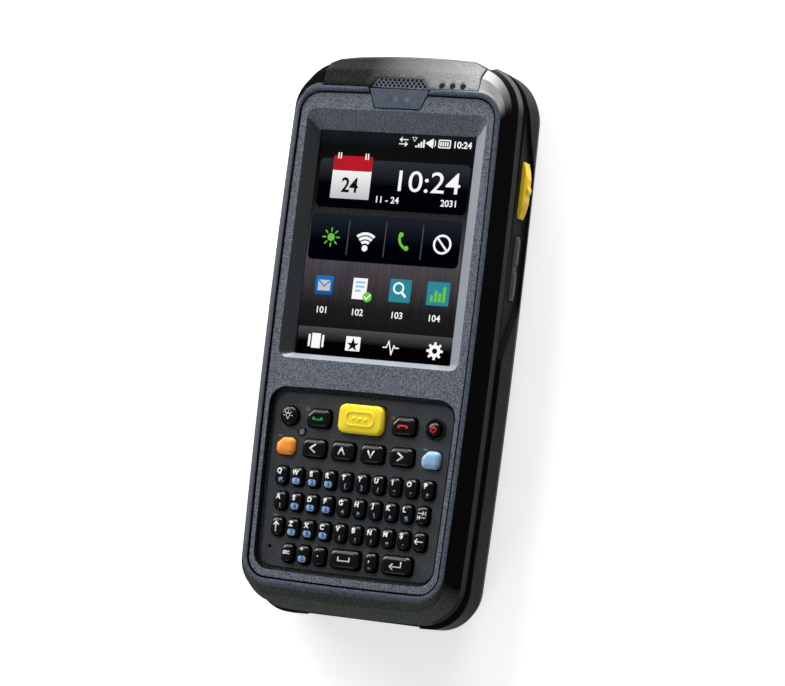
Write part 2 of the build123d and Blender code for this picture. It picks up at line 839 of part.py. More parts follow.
# Fascia: one plate with a bevelled display opening and a straight-walled keypad opening.
with BuildPart() as front_fascia:
    with BuildSketch(Plane.XY.offset(fascia_bottom_z)):
        add(fascia_plan(0.0))
    extrude(amount=fascia_thickness)
    with BuildSketch(Plane.XY.offset(fascia_bottom_z)):
        with Locations((0, display_y)):
            Rectangle(opening_width, opening_length)
    extrude(amount=bevel_lip, mode=Mode.SUBTRACT)
    with BuildSketch(Plane.XY.offset(fascia_bottom_z + bevel_lip)):
        with Locations((0, display_y)):
            RectangleRounded(opening_width, opening_length, active_radius)
    with BuildSketch(Plane.XY.offset(face_z)):
        with Locations((0, display_y + (bevel_head - bevel_foot) / 2)):
            RectangleRounded(
                opening_width + 2 * bevel_width,
                opening_length + bevel_head + bevel_foot,
                bevel_radius,
            )
    loft(ruled=True, mode=Mode.SUBTRACT)
    with BuildSketch(Plane.XY.offset(fascia_bottom_z)):
        add(keypad_plan(0.0))
    extrude(amount=fascia_thickness, mode=Mode.SUBTRACT)
    with BuildSketch(Plane.XY.offset(face_z - lens_window_thickness)):
        add(lens_window_plan())
    extrude(amount=lens_window_thickness, mode=Mode.SUBTRACT)
save(front_fascia.part, "front_fascia")

with BuildPart() as head_window:
    with BuildSketch(Plane.XY.offset(face_z - lens_window_thickness)):
        add(lens_window_plan(lens_window_gap))
    extrude(amount=lens_window_thickness + lens_window_rise)
save(head_window.part, "head_window")

# Display stack under the fascia: foam gasket, touch window and panel module.
with BuildPart() as display_gasket:
    with BuildSketch(Plane.XY.offset(window_top_z)):
        with Locations((0, display_y)):
            Rectangle(active_width + 2 * window_border, active_length + 2 * window_border)
            Rectangle(
                active_width + 2 * (window_border - gasket_width),
                active_length + 2 * (window_border - gasket_width),
                mode=Mode.SUBTRACT,
            )
    extrude(amount=gasket_thickness)
save(display_gasket.part, "display_gasket")

with BuildPart() as display_window:
    with BuildSketch(Plane.XY.offset(module_top_z)):
        with Locations((0, display_y)):
            Rectangle(active_width + 2 * window_border, active_length + 2 * window_border)
    extrude(amount=window_thickness)
save(display_window.part, "display_window")

with BuildPart() as display_module:
    with BuildSketch(Plane.XY.offset(module_bottom_z)):
        with Locations((0, display_y)):
            Rectangle(active_width + 2 * module_border, active_length + 2 * module_border)
    extrude(amount=module_thickness)
save(display_module.part, "display_module")

with BuildPart() as main_board:
    with BuildSketch(Plane.XY.offset(module_bottom_z - board_thickness)):
        with Locations((0, (main_board_head_y + main_board_foot_y) / 2)):
            Rectangle(2 * main_board_half_width, main_board_head_y - main_board_foot_y)
        with Locations(boss_places):
            RegularPolygon(boss_radius + boss_clearance, boss_sides, mode=Mode.SUBTRACT)
    extrude(amount=board_thickness)
save(main_board.part, "main_board")

# Keypad: each key is a kind, a width, a length and a place.
key_groups = {
    "key_light": [("round", 2 * light_radius, 2 * light_radius, -outer_column_x, call_row_y)],
    "key_talk": [("cut", call_width, arrow_length, -call_column_x, call_row_y)],
    "key_scan": [("scan", scan_width, scan_length, 0, scan_row_y)],
    "key_end": [("cut", call_width, arrow_length, call_column_x, call_row_y)],
    "key_power": [("round", 2 * power_radius, 2 * power_radius, outer_column_x, call_row_y)],
    "key_orange": [("cut", function_width, function_length, -outer_column_x, arrow_row_y)],
    "key_blue": [("cut", function_width, function_length, outer_column_x, arrow_row_y)],
    "key_space": [("plain", wide_width, small_length, 0, space_row_y)],
    "key_comma": [("plain", small_width, small_length, wide_pitch, space_row_y)],
    "key_enter": [("plain", wide_width, small_length, 2 * wide_pitch, space_row_y)],
}
for index, name in enumerate(("left", "up", "down", "right")):
    key_x = (index - 1.5) * arrow_pitch
    key_groups[f"key_{name}"] = [("plain", arrow_width, arrow_length, key_x, arrow_row_y)]
for index, name in enumerate(("escape", "zero", "period")):
    key_x = -wide_pitch - (2 - index) * space_pitch
    key_groups[f"key_{name}"] = [("plain", small_width, small_length, key_x, space_row_y)]
letter_rows = {
    "upper": (upper_row_y, upper_pitch, ("", "w", "e", "r", "", "", "", "", "", "")),
    "middle": (middle_row_y, middle_pitch, ("", "s", "d", "f", "", "", "", "", "", "tab")),
    "lower": (lower_row_y, lower_pitch, ("shift", "z", "x", "c", "", "", "", "", "", "backspace")),
}
for row, (row_y, pitch, names) in letter_rows.items():
    for index, name in enumerate(names):
        key_x = (index - (len(names) - 1) / 2) * pitch
        node = f"key_{name}" if name else f"letter_keys_{row}"
        key_groups.setdefault(node, []).append(("plain", small_width, small_length, key_x, row_y))

for node, keys in key_groups.items():
    with BuildPart() as key_node:
        for kind, width, length, x, y in keys:
            add(key_solid(kind, width, length, x, y))
        if node == "key_scan":
            with BuildSketch(Plane.XY.offset(key_top_z - scan_dish_depth)):
                with Locations((0, scan_row_y)):
                    Rectangle(scan_dish_width, scan_dish_length)
            extrude(amount=scan_dish_depth, mode=Mode.SUBTRACT)
    save(key_node.part, node)

# Keypad panel: a raised field in a dark trench, with a hole for each key.
# A notched ring guards the power key against a press by accident.
with BuildPart() as keypad_panel:
    with BuildSketch(Plane.XY.offset(panel_bottom_z)):
        add(keypad_plan(-panel_capture))
    extrude(amount=panel_flange)
    with BuildSketch(Plane.XY.offset(fascia_bottom_z)):
        add(keypad_plan(panel_gap))
    extrude(amount=panel_rise)
    with BuildSketch(Plane.XY.offset(panel_bottom_z)):
        for keys in key_groups.values():
            for kind, width, length, x, y in keys:
                with Locations((x, y)):
                    add(key_plan(kind, width + 2 * key_clearance, length + 2 * key_clearance))
        with Locations((lens_x, lens_y)):
            Circle(lens_radius)
        with Locations((mic_x, mic_y)):
            Circle(mic_hole_radius)
    extrude(amount=panel_flange + panel_rise, mode=Mode.SUBTRACT)
    with BuildSketch(Plane.XY.offset(panel_top_z)):
        with Locations((outer_column_x, call_row_y)):
            Circle(guard_inner_radius + guard_width)
            Circle(guard_inner_radius, mode=Mode.SUBTRACT)
            with PolarLocations(guard_inner_radius, guard_notch_count):
                Rectangle(4 * guard_width, guard_notch, mode=Mode.SUBTRACT)
    extrude(amount=guard_rise)
save(keypad_panel.part, "keypad_panel")

def mat_plan(inset):
    # Outline of the hidden layers under the keypad panel.
    with BuildSketch() as plan:
        with Locations((0, (keypad_head_y + keypad_foot_y) / 2)):
            Rectangle(2 * (mat_half_width - inset), mat_length - 2 * inset)
        chamfer(plan.vertices(), mat_corner - inset / 2)
    return plan.sketch


with BuildPart() as keypad_mat:
    with BuildSketch(Plane.XY.offset(mat_bottom_z)):
        add(mat_plan(0.0))
    extrude(amount=mat_thickness)
    with BuildSketch(Plane.XY.offset(mat_top_z)):
        add(mat_plan(0.0))
        add(mat_plan(mat_border), mode=Mode.SUBTRACT)
    extrude(amount=panel_bottom_z - mat_top_z)
    with BuildSketch(Plane.XY.offset(mat_bottom_z)):
        with Locations(boss_places):
            RegularPolygon(boss_radius + boss_clearance, boss_sides)
        with Locations((mic_x, mic_y)):
            Circle(mic_radius + mic_clearance)
    extrude(amount=panel_bottom_z - mat_bottom_z, mode=Mode.SUBTRACT)
save(keypad_mat.part, "keypad_mat")

# Keypad board, with the microphone soldered to it under its hole.
with BuildPart() as keypad_board:
    with BuildSketch(Plane.XY.offset(module_bottom_z)):
        add(mat_plan(0.0))
        with Locations(boss_places):
            RegularPolygon(boss_radius + boss_clearance, boss_sides, mode=Mode.SUBTRACT)
    extrude(amount=mat_bottom_z - module_bottom_z)
    with BuildSketch(Plane.XY.offset(mat_bottom_z)):
        with Locations((mic_x, mic_y)):
            Circle(mic_radius)
    extrude(amount=mic_height)
save(keypad_board.part, "keypad_board")


def side_control(y, z, length, height, proud, taper, play):
    # Button that slides or rocks in a side slot, kept in by a collar behind the pad.
    collar_x = pad_x - play
    with BuildPart() as control:
        with BuildSketch(Plane.XY.offset(z - height / 2 - side_collar)):
            with Locations((collar_x - side_collar_thickness, y)):
                Rectangle(side_collar_thickness, length + 2 * side_collar, align=(Align.MIN, Align.CENTER))
        extrude(amount=height + 2 * side_collar)
        with BuildSketch(Plane.XY.offset(z - height / 2)):
            with Locations((0, y)):
                Polygon(
                    (collar_x - side_collar_thickness, -length / 2),
                    (scoop_x + control_edge, -length / 2),
                    (scoop_x + proud, -length / 2 + taper),
                    (scoop_x + proud, length / 2 - taper),
                    (scoop_x + control_edge, length / 2),
                    (collar_x - side_collar_thickness, length / 2),
                    align=None,
                )
        extrude(amount=height)
        chamfer(control.faces().sort_by(Axis.X)[-1].edges().filter_by(Axis.Y), control_chamfer)
    return control.part


with BuildPart() as side_trigger_right:
    trigger_size = (trigger_length, trigger_height, trigger_proud, trigger_taper)
    add(side_control(trigger_y, trigger_z, *trigger_size, key_play))
    with BuildSketch(Plane.XY.offset(trigger_z - trigger_height / 2 + control_chamfer)):
        with Locations((scoop_x + trigger_proud - trigger_bump_radius + trigger_bump_rise, trigger_y)):
            Circle(trigger_bump_radius)
    extrude(amount=trigger_height - 2 * control_chamfer)
save(side_trigger_right.part, "side_trigger_right")

with BuildPart() as side_trigger_left:
    mirror(side_trigger_right.part, about=Plane.YZ)
save(side_trigger_left.part, "side_trigger_left")

# Volume key: it rocks on two trunnions that sit in sockets of the side pad.
with BuildPart() as volume_key:
    volume_size = (volume_length, volume_height, volume_proud, volume_taper)
    add(side_control(volume_y, volume_z, *volume_size, volume_play))
    with BuildSketch(Plane.XY.offset(volume_z - volume_height / 2)):
        with Locations((scoop_x + volume_proud, volume_y)):
            Rectangle(2 * volume_notch_depth, volume_notch_length)
    extrude(amount=volume_height, mode=Mode.SUBTRACT)
    with BuildSketch(Plane.XY.offset(trunnion_bottom_z)):
        with Locations((trunnion_x, volume_y)):
            Circle(trunnion_radius)
    extrude(amount=trunnion_length)
save(volume_key.part, "volume_key")

# Battery: a sealed pack under a moulded cover, pulled out through the back.
with BuildPart() as battery_cover:
    with BuildSketch():
        with Locations((0, bay_middle_y)):
            RectangleRounded(battery_width, battery_length, battery_radius)
    extrude(amount=cover_thickness)
    with BuildSketch():
        with Locations((0, battery_head_y - grip_inset)):
            with GridLocations(grip_groove_length, grip_groove_pitch, 1, grip_groove_count):
                Rectangle(grip_groove_length, grip_groove_width)
    extrude(amount=grip_groove_depth, mode=Mode.SUBTRACT)
save(battery_cover.part, "battery_cover")

with BuildPart() as battery_pack:
    with BuildSketch(Plane.XY.offset(cover_thickness)):
        with Locations((0, bay_middle_y)):
            Rectangle(battery_width - 2 * pack_margin, battery_length - 2 * pack_margin)
    extrude(amount=battery_depth - cover_thickness)
    fillet(battery_pack.edges().filter_by(Axis.Y).group_by(Axis.Z)[-1], pack_radius)
save(battery_pack.part, "battery_pack")

with BuildPart() as battery_contacts:
    with BuildSketch(Plane.XY.offset(contact_z)):
        with Locations([(x, pocket_head_y + contact_sink) for x in contact_columns]):
            Rectangle(contact_width, contact_wall + contact_reach, align=(Align.CENTER, Align.MIN))
    extrude(amount=contact_height)
save(battery_contacts.part, "battery_contacts")

with BuildPart() as battery_latch:
    with BuildSketch(Plane.XY.offset(latch_sink)):
        with Locations((0, latch_y)):
            Rectangle(latch_width, latch_length)
    extrude(amount=latch_thickness)
    with BuildSketch(Plane.XY.offset(latch_sink + latch_thickness)):
        with Locations((0, latch_y)):
            Rectangle(latch_stem_width, latch_stem_length)
    extrude(amount=latch_floor + latch_stem_reach)
    with BuildSketch(Plane.XY.offset(latch_sink - latch_rib_height)):
        with Locations((0, latch_y)):
            with GridLocations(latch_width, latch_rib_pitch, 1, latch_rib_count):
                Rectangle(latch_width - 2 * latch_margin, latch_rib_width)
    extrude(amount=latch_rib_height)
save(battery_latch.part, "battery_latch")

with BuildPart() as loudspeaker:
    with BuildSketch(Plane.XY.offset(back_wall)):
        with Locations((speaker_x, speaker_y)):
            Circle(speaker_radius)
    extrude(amount=speaker_depth)
save(loudspeaker.part, "loudspeaker")

# Dock connector: a shroud with a tongue, set in the gap between the two feet.
with BuildPart() as dock_connector:
    with BuildSketch(facing_head(foot_end_y + foot_gap_depth, dock_z)):
        RectangleRounded(dock_width, dock_height, dock_radius)
    extrude(amount=dock_depth)
    with BuildSketch(facing_head(foot_end_y + foot_gap_depth, dock_z)):
        Rectangle(dock_width - 2 * dock_shroud, dock_height - 2 * dock_shroud)
        Rectangle(dock_tongue_width, dock_tongue_height, mode=Mode.SUBTRACT)
    extrude(amount=dock_mouth, mode=Mode.SUBTRACT)
save(dock_connector.part, "dock_connector")

with BuildPart() as housing_screws:
    with BuildSketch(Plane.XY.offset(screw_sink)):
        with Locations(boss_places):
            Circle(screw_head_radius)
    extrude(amount=screw_head_height)
    with BuildSketch(Plane.XY.offset(screw_sink + screw_head_height)):
        with Locations(boss_places):
            RegularPolygon(screw_radius, boss_sides)
    extrude(amount=split_rear_z + screw_reach - screw_sink - screw_head_height)
save(housing_screws.part, "housing_screws")
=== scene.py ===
import math

import bpy
from mathutils import Matrix, Vector


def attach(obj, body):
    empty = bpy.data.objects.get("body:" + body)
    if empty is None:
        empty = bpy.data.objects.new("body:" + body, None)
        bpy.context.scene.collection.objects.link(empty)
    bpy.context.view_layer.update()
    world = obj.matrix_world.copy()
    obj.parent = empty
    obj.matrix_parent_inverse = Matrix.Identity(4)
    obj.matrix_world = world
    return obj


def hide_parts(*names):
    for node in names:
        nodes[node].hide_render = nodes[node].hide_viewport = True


mm = 0.001

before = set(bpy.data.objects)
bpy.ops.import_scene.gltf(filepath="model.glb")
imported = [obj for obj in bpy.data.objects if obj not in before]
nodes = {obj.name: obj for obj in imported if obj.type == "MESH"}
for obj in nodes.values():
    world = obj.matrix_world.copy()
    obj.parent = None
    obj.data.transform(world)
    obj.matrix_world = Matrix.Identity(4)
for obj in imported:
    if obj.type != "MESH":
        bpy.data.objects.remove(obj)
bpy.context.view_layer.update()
print("stage: frame loaded")

camera = {
    "place": (0.39179, -0.07460, 0.86754),  # metres, in front of the screen and to its right
    "turn": (7.5594, 23.9429, 7.4810),  # degrees about X, Y and Z; the terminal leans to the right
    "lens": 136.96,
    "sensor": 36,
    "clip": (0.01, 20),
}


def addCamera():
    data = bpy.data.cameras.new("viewCamera")
    data.lens = camera["lens"]
    data.sensor_width = camera["sensor"]
    data.clip_start, data.clip_end = camera["clip"]
    eye = bpy.data.objects.new("viewCamera", data)
    bpy.context.collection.objects.link(eye)
    eye.location = camera["place"]
    eye.rotation_euler = [math.radians(turn) for turn in camera["turn"]]
    bpy.context.scene.camera = eye


addCamera()


def linearColor(hexText):
    # sRGB hex to the linear colour that a shader takes
    values = [int(hexText[i:i + 2], 16) / 255 for i in (1, 3, 5)]
    linear = [v / 12.92 if v <= 0.04045 else ((v + 0.055) / 1.055) ** 2.4 for v in values]
    return (*linear, 1.0)


def setInputs(tree, node, inputs):
    # an input is a value or a link; a link is a node, for its first output, or (node, output)
    for name, value in inputs.items():
        if isinstance(value, bpy.types.Node):
            value = (value, 0)
        if isinstance(value, tuple) and isinstance(value[0], bpy.types.Node):
            tree.links.new(value[0].outputs[value[1]], node.inputs[name])
        else:
            node.inputs[name].default_value = value


def addNode(tree, kind, settings=None, inputs=None, stops=()):
    # settings are the node's own properties, stops the (position, hex) points of a colour ramp
    made = tree.nodes.new(kind)
    for name, value in (settings or {}).items():
        setattr(made, name, value)
    if stops:
        points = made.color_ramp.elements
        while len(points) < len(stops):
            points.new(0.5)
        for point, (position, hexText) in zip(points, stops):
            point.position = position
            point.color = linearColor(hexText)
    setInputs(tree, made, inputs or {})
    return made


def startMaterial(name, shaderInputs):
    material = bpy.data.materials.new(name)
    material.use_nodes = True
    tree = material.node_tree
    tree.nodes.clear()
    shader = addNode(tree, "ShaderNodeBsdfPrincipled", None, shaderInputs)
    addNode(tree, "ShaderNodeOutputMaterial", None, {"Surface": shader})
    return material, tree, shader


def placeOf(tree):
    # X, Y and Z of the shaded point, in metres
    place = addNode(tree, "ShaderNodeTexCoord")
    return addNode(tree, "ShaderNodeSeparateXYZ", None, {"Vector": (place, "Object")})


def facingOf(tree, normal):
    # X, Y and Z of the way it faces: "True Normal" of its face, or the smoothed "Normal"
    surface = addNode(tree, "ShaderNodeNewGeometry")
    return addNode(tree, "ShaderNodeSeparateXYZ", None, {"Vector": (surface, normal)})


def product(tree, links):
    result = links[0]
    for link in links[1:]:
        result = addNode(tree, "ShaderNodeMath", {"operation": "MULTIPLY"}, {0: result, 1: link})
    return result


def where(tree, *tests):
    # mask: 1 where all tests hold; a test is a link, how it is compared, and the limit
    return product(tree, [
        addNode(tree, "ShaderNodeMath", {"operation": comparison}, {0: link, 1: limit})
        for link, comparison, limit in tests])


def fadeIn(tree, *ramps):
    # mask: product of ramps from 0 to 1; a ramp is a link, its start, its end and its curve
    return product(tree, [
        addNode(tree, "ShaderNodeMapRange", {"interpolation_type": curve}, {
            "Value": link, "From Min": start, "From Max": end})
        for link, start, end, curve in ramps])


def paintLayers(tree, color, *layers):
    # each layer is a mask and the hex or colour link that covers the rest where the mask is 1
    under, over, mixed = 6, 7, 2  # a Mix node's colour sockets share their names with others
    for mask, layer in layers:
        if isinstance(layer, str):
            layer = linearColor(layer)
        mix = addNode(tree, "ShaderNodeMix", {"data_type": "RGBA"}, {
            "Factor": mask, under: color, over: layer})
        color = (mix, mixed)
    return color


def addGrain(tree, size, detail=2.0):
    # pebbles of this size in mm
    place = addNode(tree, "ShaderNodeTexCoord")
    return addNode(tree, "ShaderNodeTexNoise", None, {
        "Vector": (place, "Object"), "Scale": 1 / (size * mm), "Detail": detail, "Roughness": 0.6})


def addStreaks(tree, width, squeeze, detail):
    # streaks along Y, of this width in mm
    place = addNode(tree, "ShaderNodeTexCoord")
    drawn = addNode(tree, "ShaderNodeMapping", None, {
        "Vector": (place, "Object"), "Scale": (1, squeeze, 1)})
    return addNode(tree, "ShaderNodeTexNoise", None, {
        "Vector": drawn, "Scale": 1 / (width * mm), "Detail": detail})


# Slow change of gloss that hands leave on all of the moulded plastic
handWear = {
    "patch": 9.0,  # mm across
    "detail": 4.0,
    "band": (0.3, 0.7),  # of the pattern
    "change": (-0.05, 0.07),  # of the roughness
}


# Moulded plastic: the pebbled skin that a spark-eroded tool leaves, in two tones. The grain, its
# depth and the radius of the edges are in mm, and spread says where in the grain the tones stand.
# Real pebbles, about 0.1 mm, are too fine to show, so the grained pieces draw them coarser.
def startMoulded(name, low, high, grain=1.0, depth=0.0, rough=0.5, specular=0.3, edge=0.02,
                 spread=(0.35, 0.68)):
    material, tree, shader = startMaterial(name, {"Specular IOR Level": specular})
    pebbles = addGrain(tree, grain)
    tone = addNode(tree, "ShaderNodeValToRGB", None, {"Fac": pebbles},
                   [(spread[0], low), (spread[1], high)])
    patches = addGrain(tree, handWear["patch"], handWear["detail"])
    start, end = handWear["band"]
    less, more = handWear["change"]
    wear = addNode(tree, "ShaderNodeMapRange", None, {
        "Value": patches, "From Min": start, "From Max": end,
        "To Min": rough + less, "To Max": rough + more})
    rounded = addNode(tree, "ShaderNodeBevel", {"samples": 6}, {"Radius": edge * mm})
    bump = addNode(tree, "ShaderNodeBump", None, {
        "Height": pebbles, "Strength": 1.0, "Distance": depth * mm, "Normal": rounded})
    setInputs(tree, shader, {"Base Color": tone, "Roughness": wear, "Normal": bump})
    return material, tree, shader


def moulded(name, low, high, **settings):
    return startMoulded(name, low, high, **settings)[0]


def sourceOf(shader, name):
    # the node that feeds this input
    return shader.inputs[name].links[0].from_node


# Bare metal with fine brushed streaks along Y, which spread its shine across them. Real streaks are
# too fine to show, so these are drawn coarser.
brushing = {
    "streaks": {"width": 0.25, "squeeze": 0.06, "detail": 3.0},
    "band": (0.3, 0.7),  # of the streaks, where the two tones stand
    "change": (-0.08, 0.12),  # of the roughness
}


def brushedMetal(name, low, high, rough):
    material, tree, shader = startMaterial(name, {"Metallic": 1.0})
    streaks = addStreaks(tree, **brushing["streaks"])
    start, end = brushing["band"]
    tone = addNode(tree, "ShaderNodeValToRGB", None, {"Fac": streaks}, [(start, low), (end, high)])
    less, more = brushing["change"]
    dull = addNode(tree, "ShaderNodeMapRange", None, {
        "Value": streaks, "To Min": rough + less, "To Max": rough + more})
    setInputs(tree, shader, {"Base Color": tone, "Roughness": dull})
    return material


backlightPatch = 6.0  # mm across


# Lit part of the screen picture: it glows by itself, with the faint unevenness of a backlight.
# Where across is given, an axis with its start and end in mm, the tone runs along it instead.
def screenInk(name, low, high, across=None):
    material, tree, shader = startMaterial(name, {
        "Base Color": linearColor("#000000"), "Roughness": 0.35, "Specular IOR Level": 0.0,
        "Emission Strength": 1.0})
    if across:
        axis, start, end = across
        amount = fadeIn(tree, ((placeOf(tree), axis), start * mm, end * mm, "LINEAR"))
    else:
        amount = addGrain(tree, backlightPatch)
    tone = addNode(tree, "ShaderNodeValToRGB", None, {"Fac": amount}, [(0.0, low), (1.0, high)])
    setInputs(tree, shader, {"Emission Color": tone})
    return material


# Blue-grey ABS: a matt pebbled face, and smooth satin bevels round the display, painted lighter as
# a painted highlight where they turn to the head and the left and darker elsewhere as painted
# shade; the keypad's walls below them carry painted shade
fasciaFinish = {
    "face": 0.985,  # what faces up less than this is a bevel or a wall
    "scoopWall": -0.05,  # walls that face the foot more than this keep the grain
    "bevelEnds": (31.3, -14.0),  # mm in X, to each side, and in Y
    "bevelShadedLitTones": ("#202427", "#858a93"),
    "bevelTurn": (0.1, 0.5),  # how far it turns for the first tone and the second
    "bevelRoughness": 0.34,
    "keyWallShade": 0.5,  # foot-side of the bevels, what faces up less than this is the keypad's wall, painted near black as painted shade
    "keyWallShadeTone": "#0c0d0e",
    "coat": {"Coat Roughness": 0.45, "Coat IOR": 1.5},
}


def makeFascia():
    material, tree, shader = startMoulded(
        "fasciaAbs", "#21252b", "#858d9a", grain=0.23, depth=0.09, rough=0.4, specular=0.2,
        edge=0.25, spread=(0.42, 0.6))
    tone, wear, bump = (sourceOf(shader, name) for name in ("Base Color", "Roughness", "Normal"))
    place, facing = placeOf(tree), facingOf(tree, "True Normal")
    endX, endY = (end * mm for end in fasciaFinish["bevelEnds"])
    aside = addNode(tree, "ShaderNodeMath", {"operation": "ABSOLUTE"}, {0: (place, "X")})
    bevel = where(tree, ((facing, "Z"), "LESS_THAN", fasciaFinish["face"]),
                  ((facing, "Y"), "GREATER_THAN", fasciaFinish["scoopWall"]),
                  ((place, "Y"), "GREATER_THAN", endY), (aside, "LESS_THAN", endX))
    # painted shade: the keypad's walls below the bevels are painted near black
    keyWallShade = where(tree, ((facing, "Z"), "LESS_THAN", fasciaFinish["keyWallShade"]),
                    ((place, "Y"), "LESS_THAN", endY))
    # painted highlight: bevels turned to the head and the left are painted in the light tone, the
    # rest in the dark tone as painted shade
    leftward = addNode(tree, "ShaderNodeMath", {"operation": "MULTIPLY_ADD"}, {
        0: (facing, "X"), 1: -1.0, 2: (facing, "Y")})
    paintedHighlight = fadeIn(tree, (leftward, *fasciaFinish["bevelTurn"], "LINEAR"))
    dark, light = fasciaFinish["bevelShadedLitTones"]
    bevelLitTone = paintLayers(tree, linearColor(dark), (paintedHighlight, light))
    rough = addNode(tree, "ShaderNodeMix", None, {
        "Factor": bevel, "A": wear, "B": fasciaFinish["bevelRoughness"]})
    grained = addNode(tree, "ShaderNodeMath", {"operation": "SUBTRACT"}, {0: 1.0, 1: bevel})
    setInputs(tree, bump, {"Strength": grained})
    setInputs(tree, shader, {
        "Base Color": paintLayers(tree, tone, (bevel, bevelLitTone),
                                  (keyWallShade, fasciaFinish["keyWallShadeTone"])),
        "Roughness": rough, "Coat Weight": product(tree, [bevel, paintedHighlight]), **fasciaFinish["coat"]})
    return material


# Front housing: smooth black ABS, painted greyer on its right-facing flare and on the faces that
# turn to the foot as painted light, with the fascia's pebbles on top of its rim, the rim's left
# painted lighter as a painted highlight, and a soft shine where it rounds over at the head's right
shellFinish = {
    "grain": 0.24,
    "rim": (31.7, 0.9),  # above this level in mm, and facing up more than this
    "rimStops": [(0.38, "#2c323c"), (0.64, "#6a7280")],
    "rimLeftHighlight": (-32, -36, 0.5),  # mm in X between which the left rim is painted lighter as a painted highlight, and by how much
    "rimLeftHighlightTone": "#83878b",
    "footLitStops": [(0.4, "#2f3330"), (0.62, "#676c67")],
    "footLitTurn": (-0.1, -0.5),
    "flare": (21.7, 0.3),  # below this level in mm, and facing right more than this, where it is painted lighter as a painted highlight
    "flareHighlightTone": "#3a3d3a",
    "headTurn": (0.02, 0.3),
    "upTurn": (0.1, 0.55),
    "right": (-10, 26),  # mm in X between which the shine comes up
    "coat": {"Coat Roughness": 0.42, "Coat IOR": 2.2},
}


def makeShell():
    material, tree, shader = startMoulded(
        "shellAbs", "#0b0b0b", "#121212", grain=0.34, depth=0.02, rough=0.4, specular=0.0, edge=1.6)
    place, facing, rounded = placeOf(tree), facingOf(tree, "True Normal"), facingOf(tree, "Normal")
    grain = addGrain(tree, shellFinish["grain"])
    rimTone, footLitTone = (
        addNode(tree, "ShaderNodeValToRGB", None, {"Fac": grain}, shellFinish[stops])
        for stops in ("rimStops", "footLitStops"))
    level, turn = shellFinish["rim"]
    rim = where(tree, ((place, "Z"), "GREATER_THAN", level * mm),
                ((facing, "Z"), "GREATER_THAN", turn))
    # painted highlight: the low flare is painted lighter where it faces right
    level, turn = shellFinish["flare"]
    flare = where(tree, ((place, "Z"), "LESS_THAN", level * mm),
                  ((facing, "X"), "GREATER_THAN", turn))
    # painted light: faces turned toward the foot are painted a lighter grey
    foot = fadeIn(tree, ((facing, "Y"), *shellFinish["footLitTurn"], "LINEAR"))
    # painted highlight: the left of the rim is painted lighter, as if lit from the left
    start, end, share = shellFinish["rimLeftHighlight"]
    rimLeftHighlight = addNode(tree, "ShaderNodeMapRange", None, {
        "Value": (place, "X"), "From Min": start * mm, "From Max": end * mm, "To Max": share})
    rimColor = paintLayers(tree, rimTone, (rimLeftHighlight, shellFinish["rimLeftHighlightTone"]))
    start, end = shellFinish["right"]
    shine = fadeIn(tree, ((rounded, "Y"), *shellFinish["headTurn"], "SMOOTHSTEP"),
                   ((rounded, "Z"), *shellFinish["upTurn"], "SMOOTHSTEP"),
                   ((place, "X"), start * mm, end * mm, "LINEAR"))
    setInputs(tree, shader, {
        "Base Color": paintLayers(tree, sourceOf(shader, "Base Color"), (foot, footLitTone),
                                  (flare, shellFinish["flareHighlightTone"]), (rim, rimColor)),
        "Coat Weight": shine, **shellFinish["coat"]})
    return material


# Top cap: black ABS with deep pebbles, rubbed glossier toward its right end
capFinish = {
    "right": (-12, 26),  # mm in X between which the shine comes up
    "upTurn": (0.1, 0.45),
    "coat": {"Coat Roughness": 0.32, "Coat IOR": 2.3},
}


def makeTopCap():
    material, tree, shader = startMoulded(
        "capAbs", "#050505", "#2a2a29", grain=0.36, depth=0.5, rough=0.4, specular=0.03, edge=1.8,
        spread=(0.44, 0.58))
    start, end = capFinish["right"]
    shine = fadeIn(tree, ((placeOf(tree), "X"), start * mm, end * mm, "LINEAR"),
                   ((facingOf(tree, "Normal"), "Z"), *capFinish["upTurn"], "SMOOTHSTEP"))
    setInputs(tree, shader, {"Coat Weight": shine, "Coat Normal": sourceOf(shader, "Normal"),
                             **capFinish["coat"]})
    return material


# Keypad panel: the fascia's ABS in a darker tone, with the black guard ring round the power key
guardRing = {"centre": (24.9, -27.9), "radius": 3.36, "tone": "#101011"}


def makePanel():
    material, tree, shader = startMoulded(
        "panelAbs", "#1f2124", "#63676c", grain=0.23, depth=0.08, rough=0.44, specular=0.1,
        edge=0.25, spread=(0.42, 0.6))
    place = addNode(tree, "ShaderNodeTexCoord")
    flat = addNode(tree, "ShaderNodeVectorMath", {"operation": "MULTIPLY"}, {
        0: (place, "Object"), 1: (1, 1, 0)})
    x, y = guardRing["centre"]
    away = addNode(tree, "ShaderNodeVectorMath", {"operation": "DISTANCE"}, {
        0: flat, 1: (x * mm, y * mm, 0)})
    ring = where(tree, ((away, "Value"), "LESS_THAN", guardRing["radius"] * mm))
    setInputs(tree, shader, {"Base Color": paintLayers(
        tree, sourceOf(shader, "Base Color"), (ring, guardRing["tone"]))})
    return material


# Smoked polycarbonate: a smooth grey sheet with the sensors as faint dots behind it
headSensors = {
    "place": (73.6, 31.6),  # mm in Y and Z
    "dots": [(-2.6, "#3c4552"), (-0.9, "#737e88"), (1.2, "#464f5c"), (2.9, "#76818b")],  # X, tone
    "blur": (0.3, 1.2),  # mm from a dot's middle
    "strength": 0.55,
}


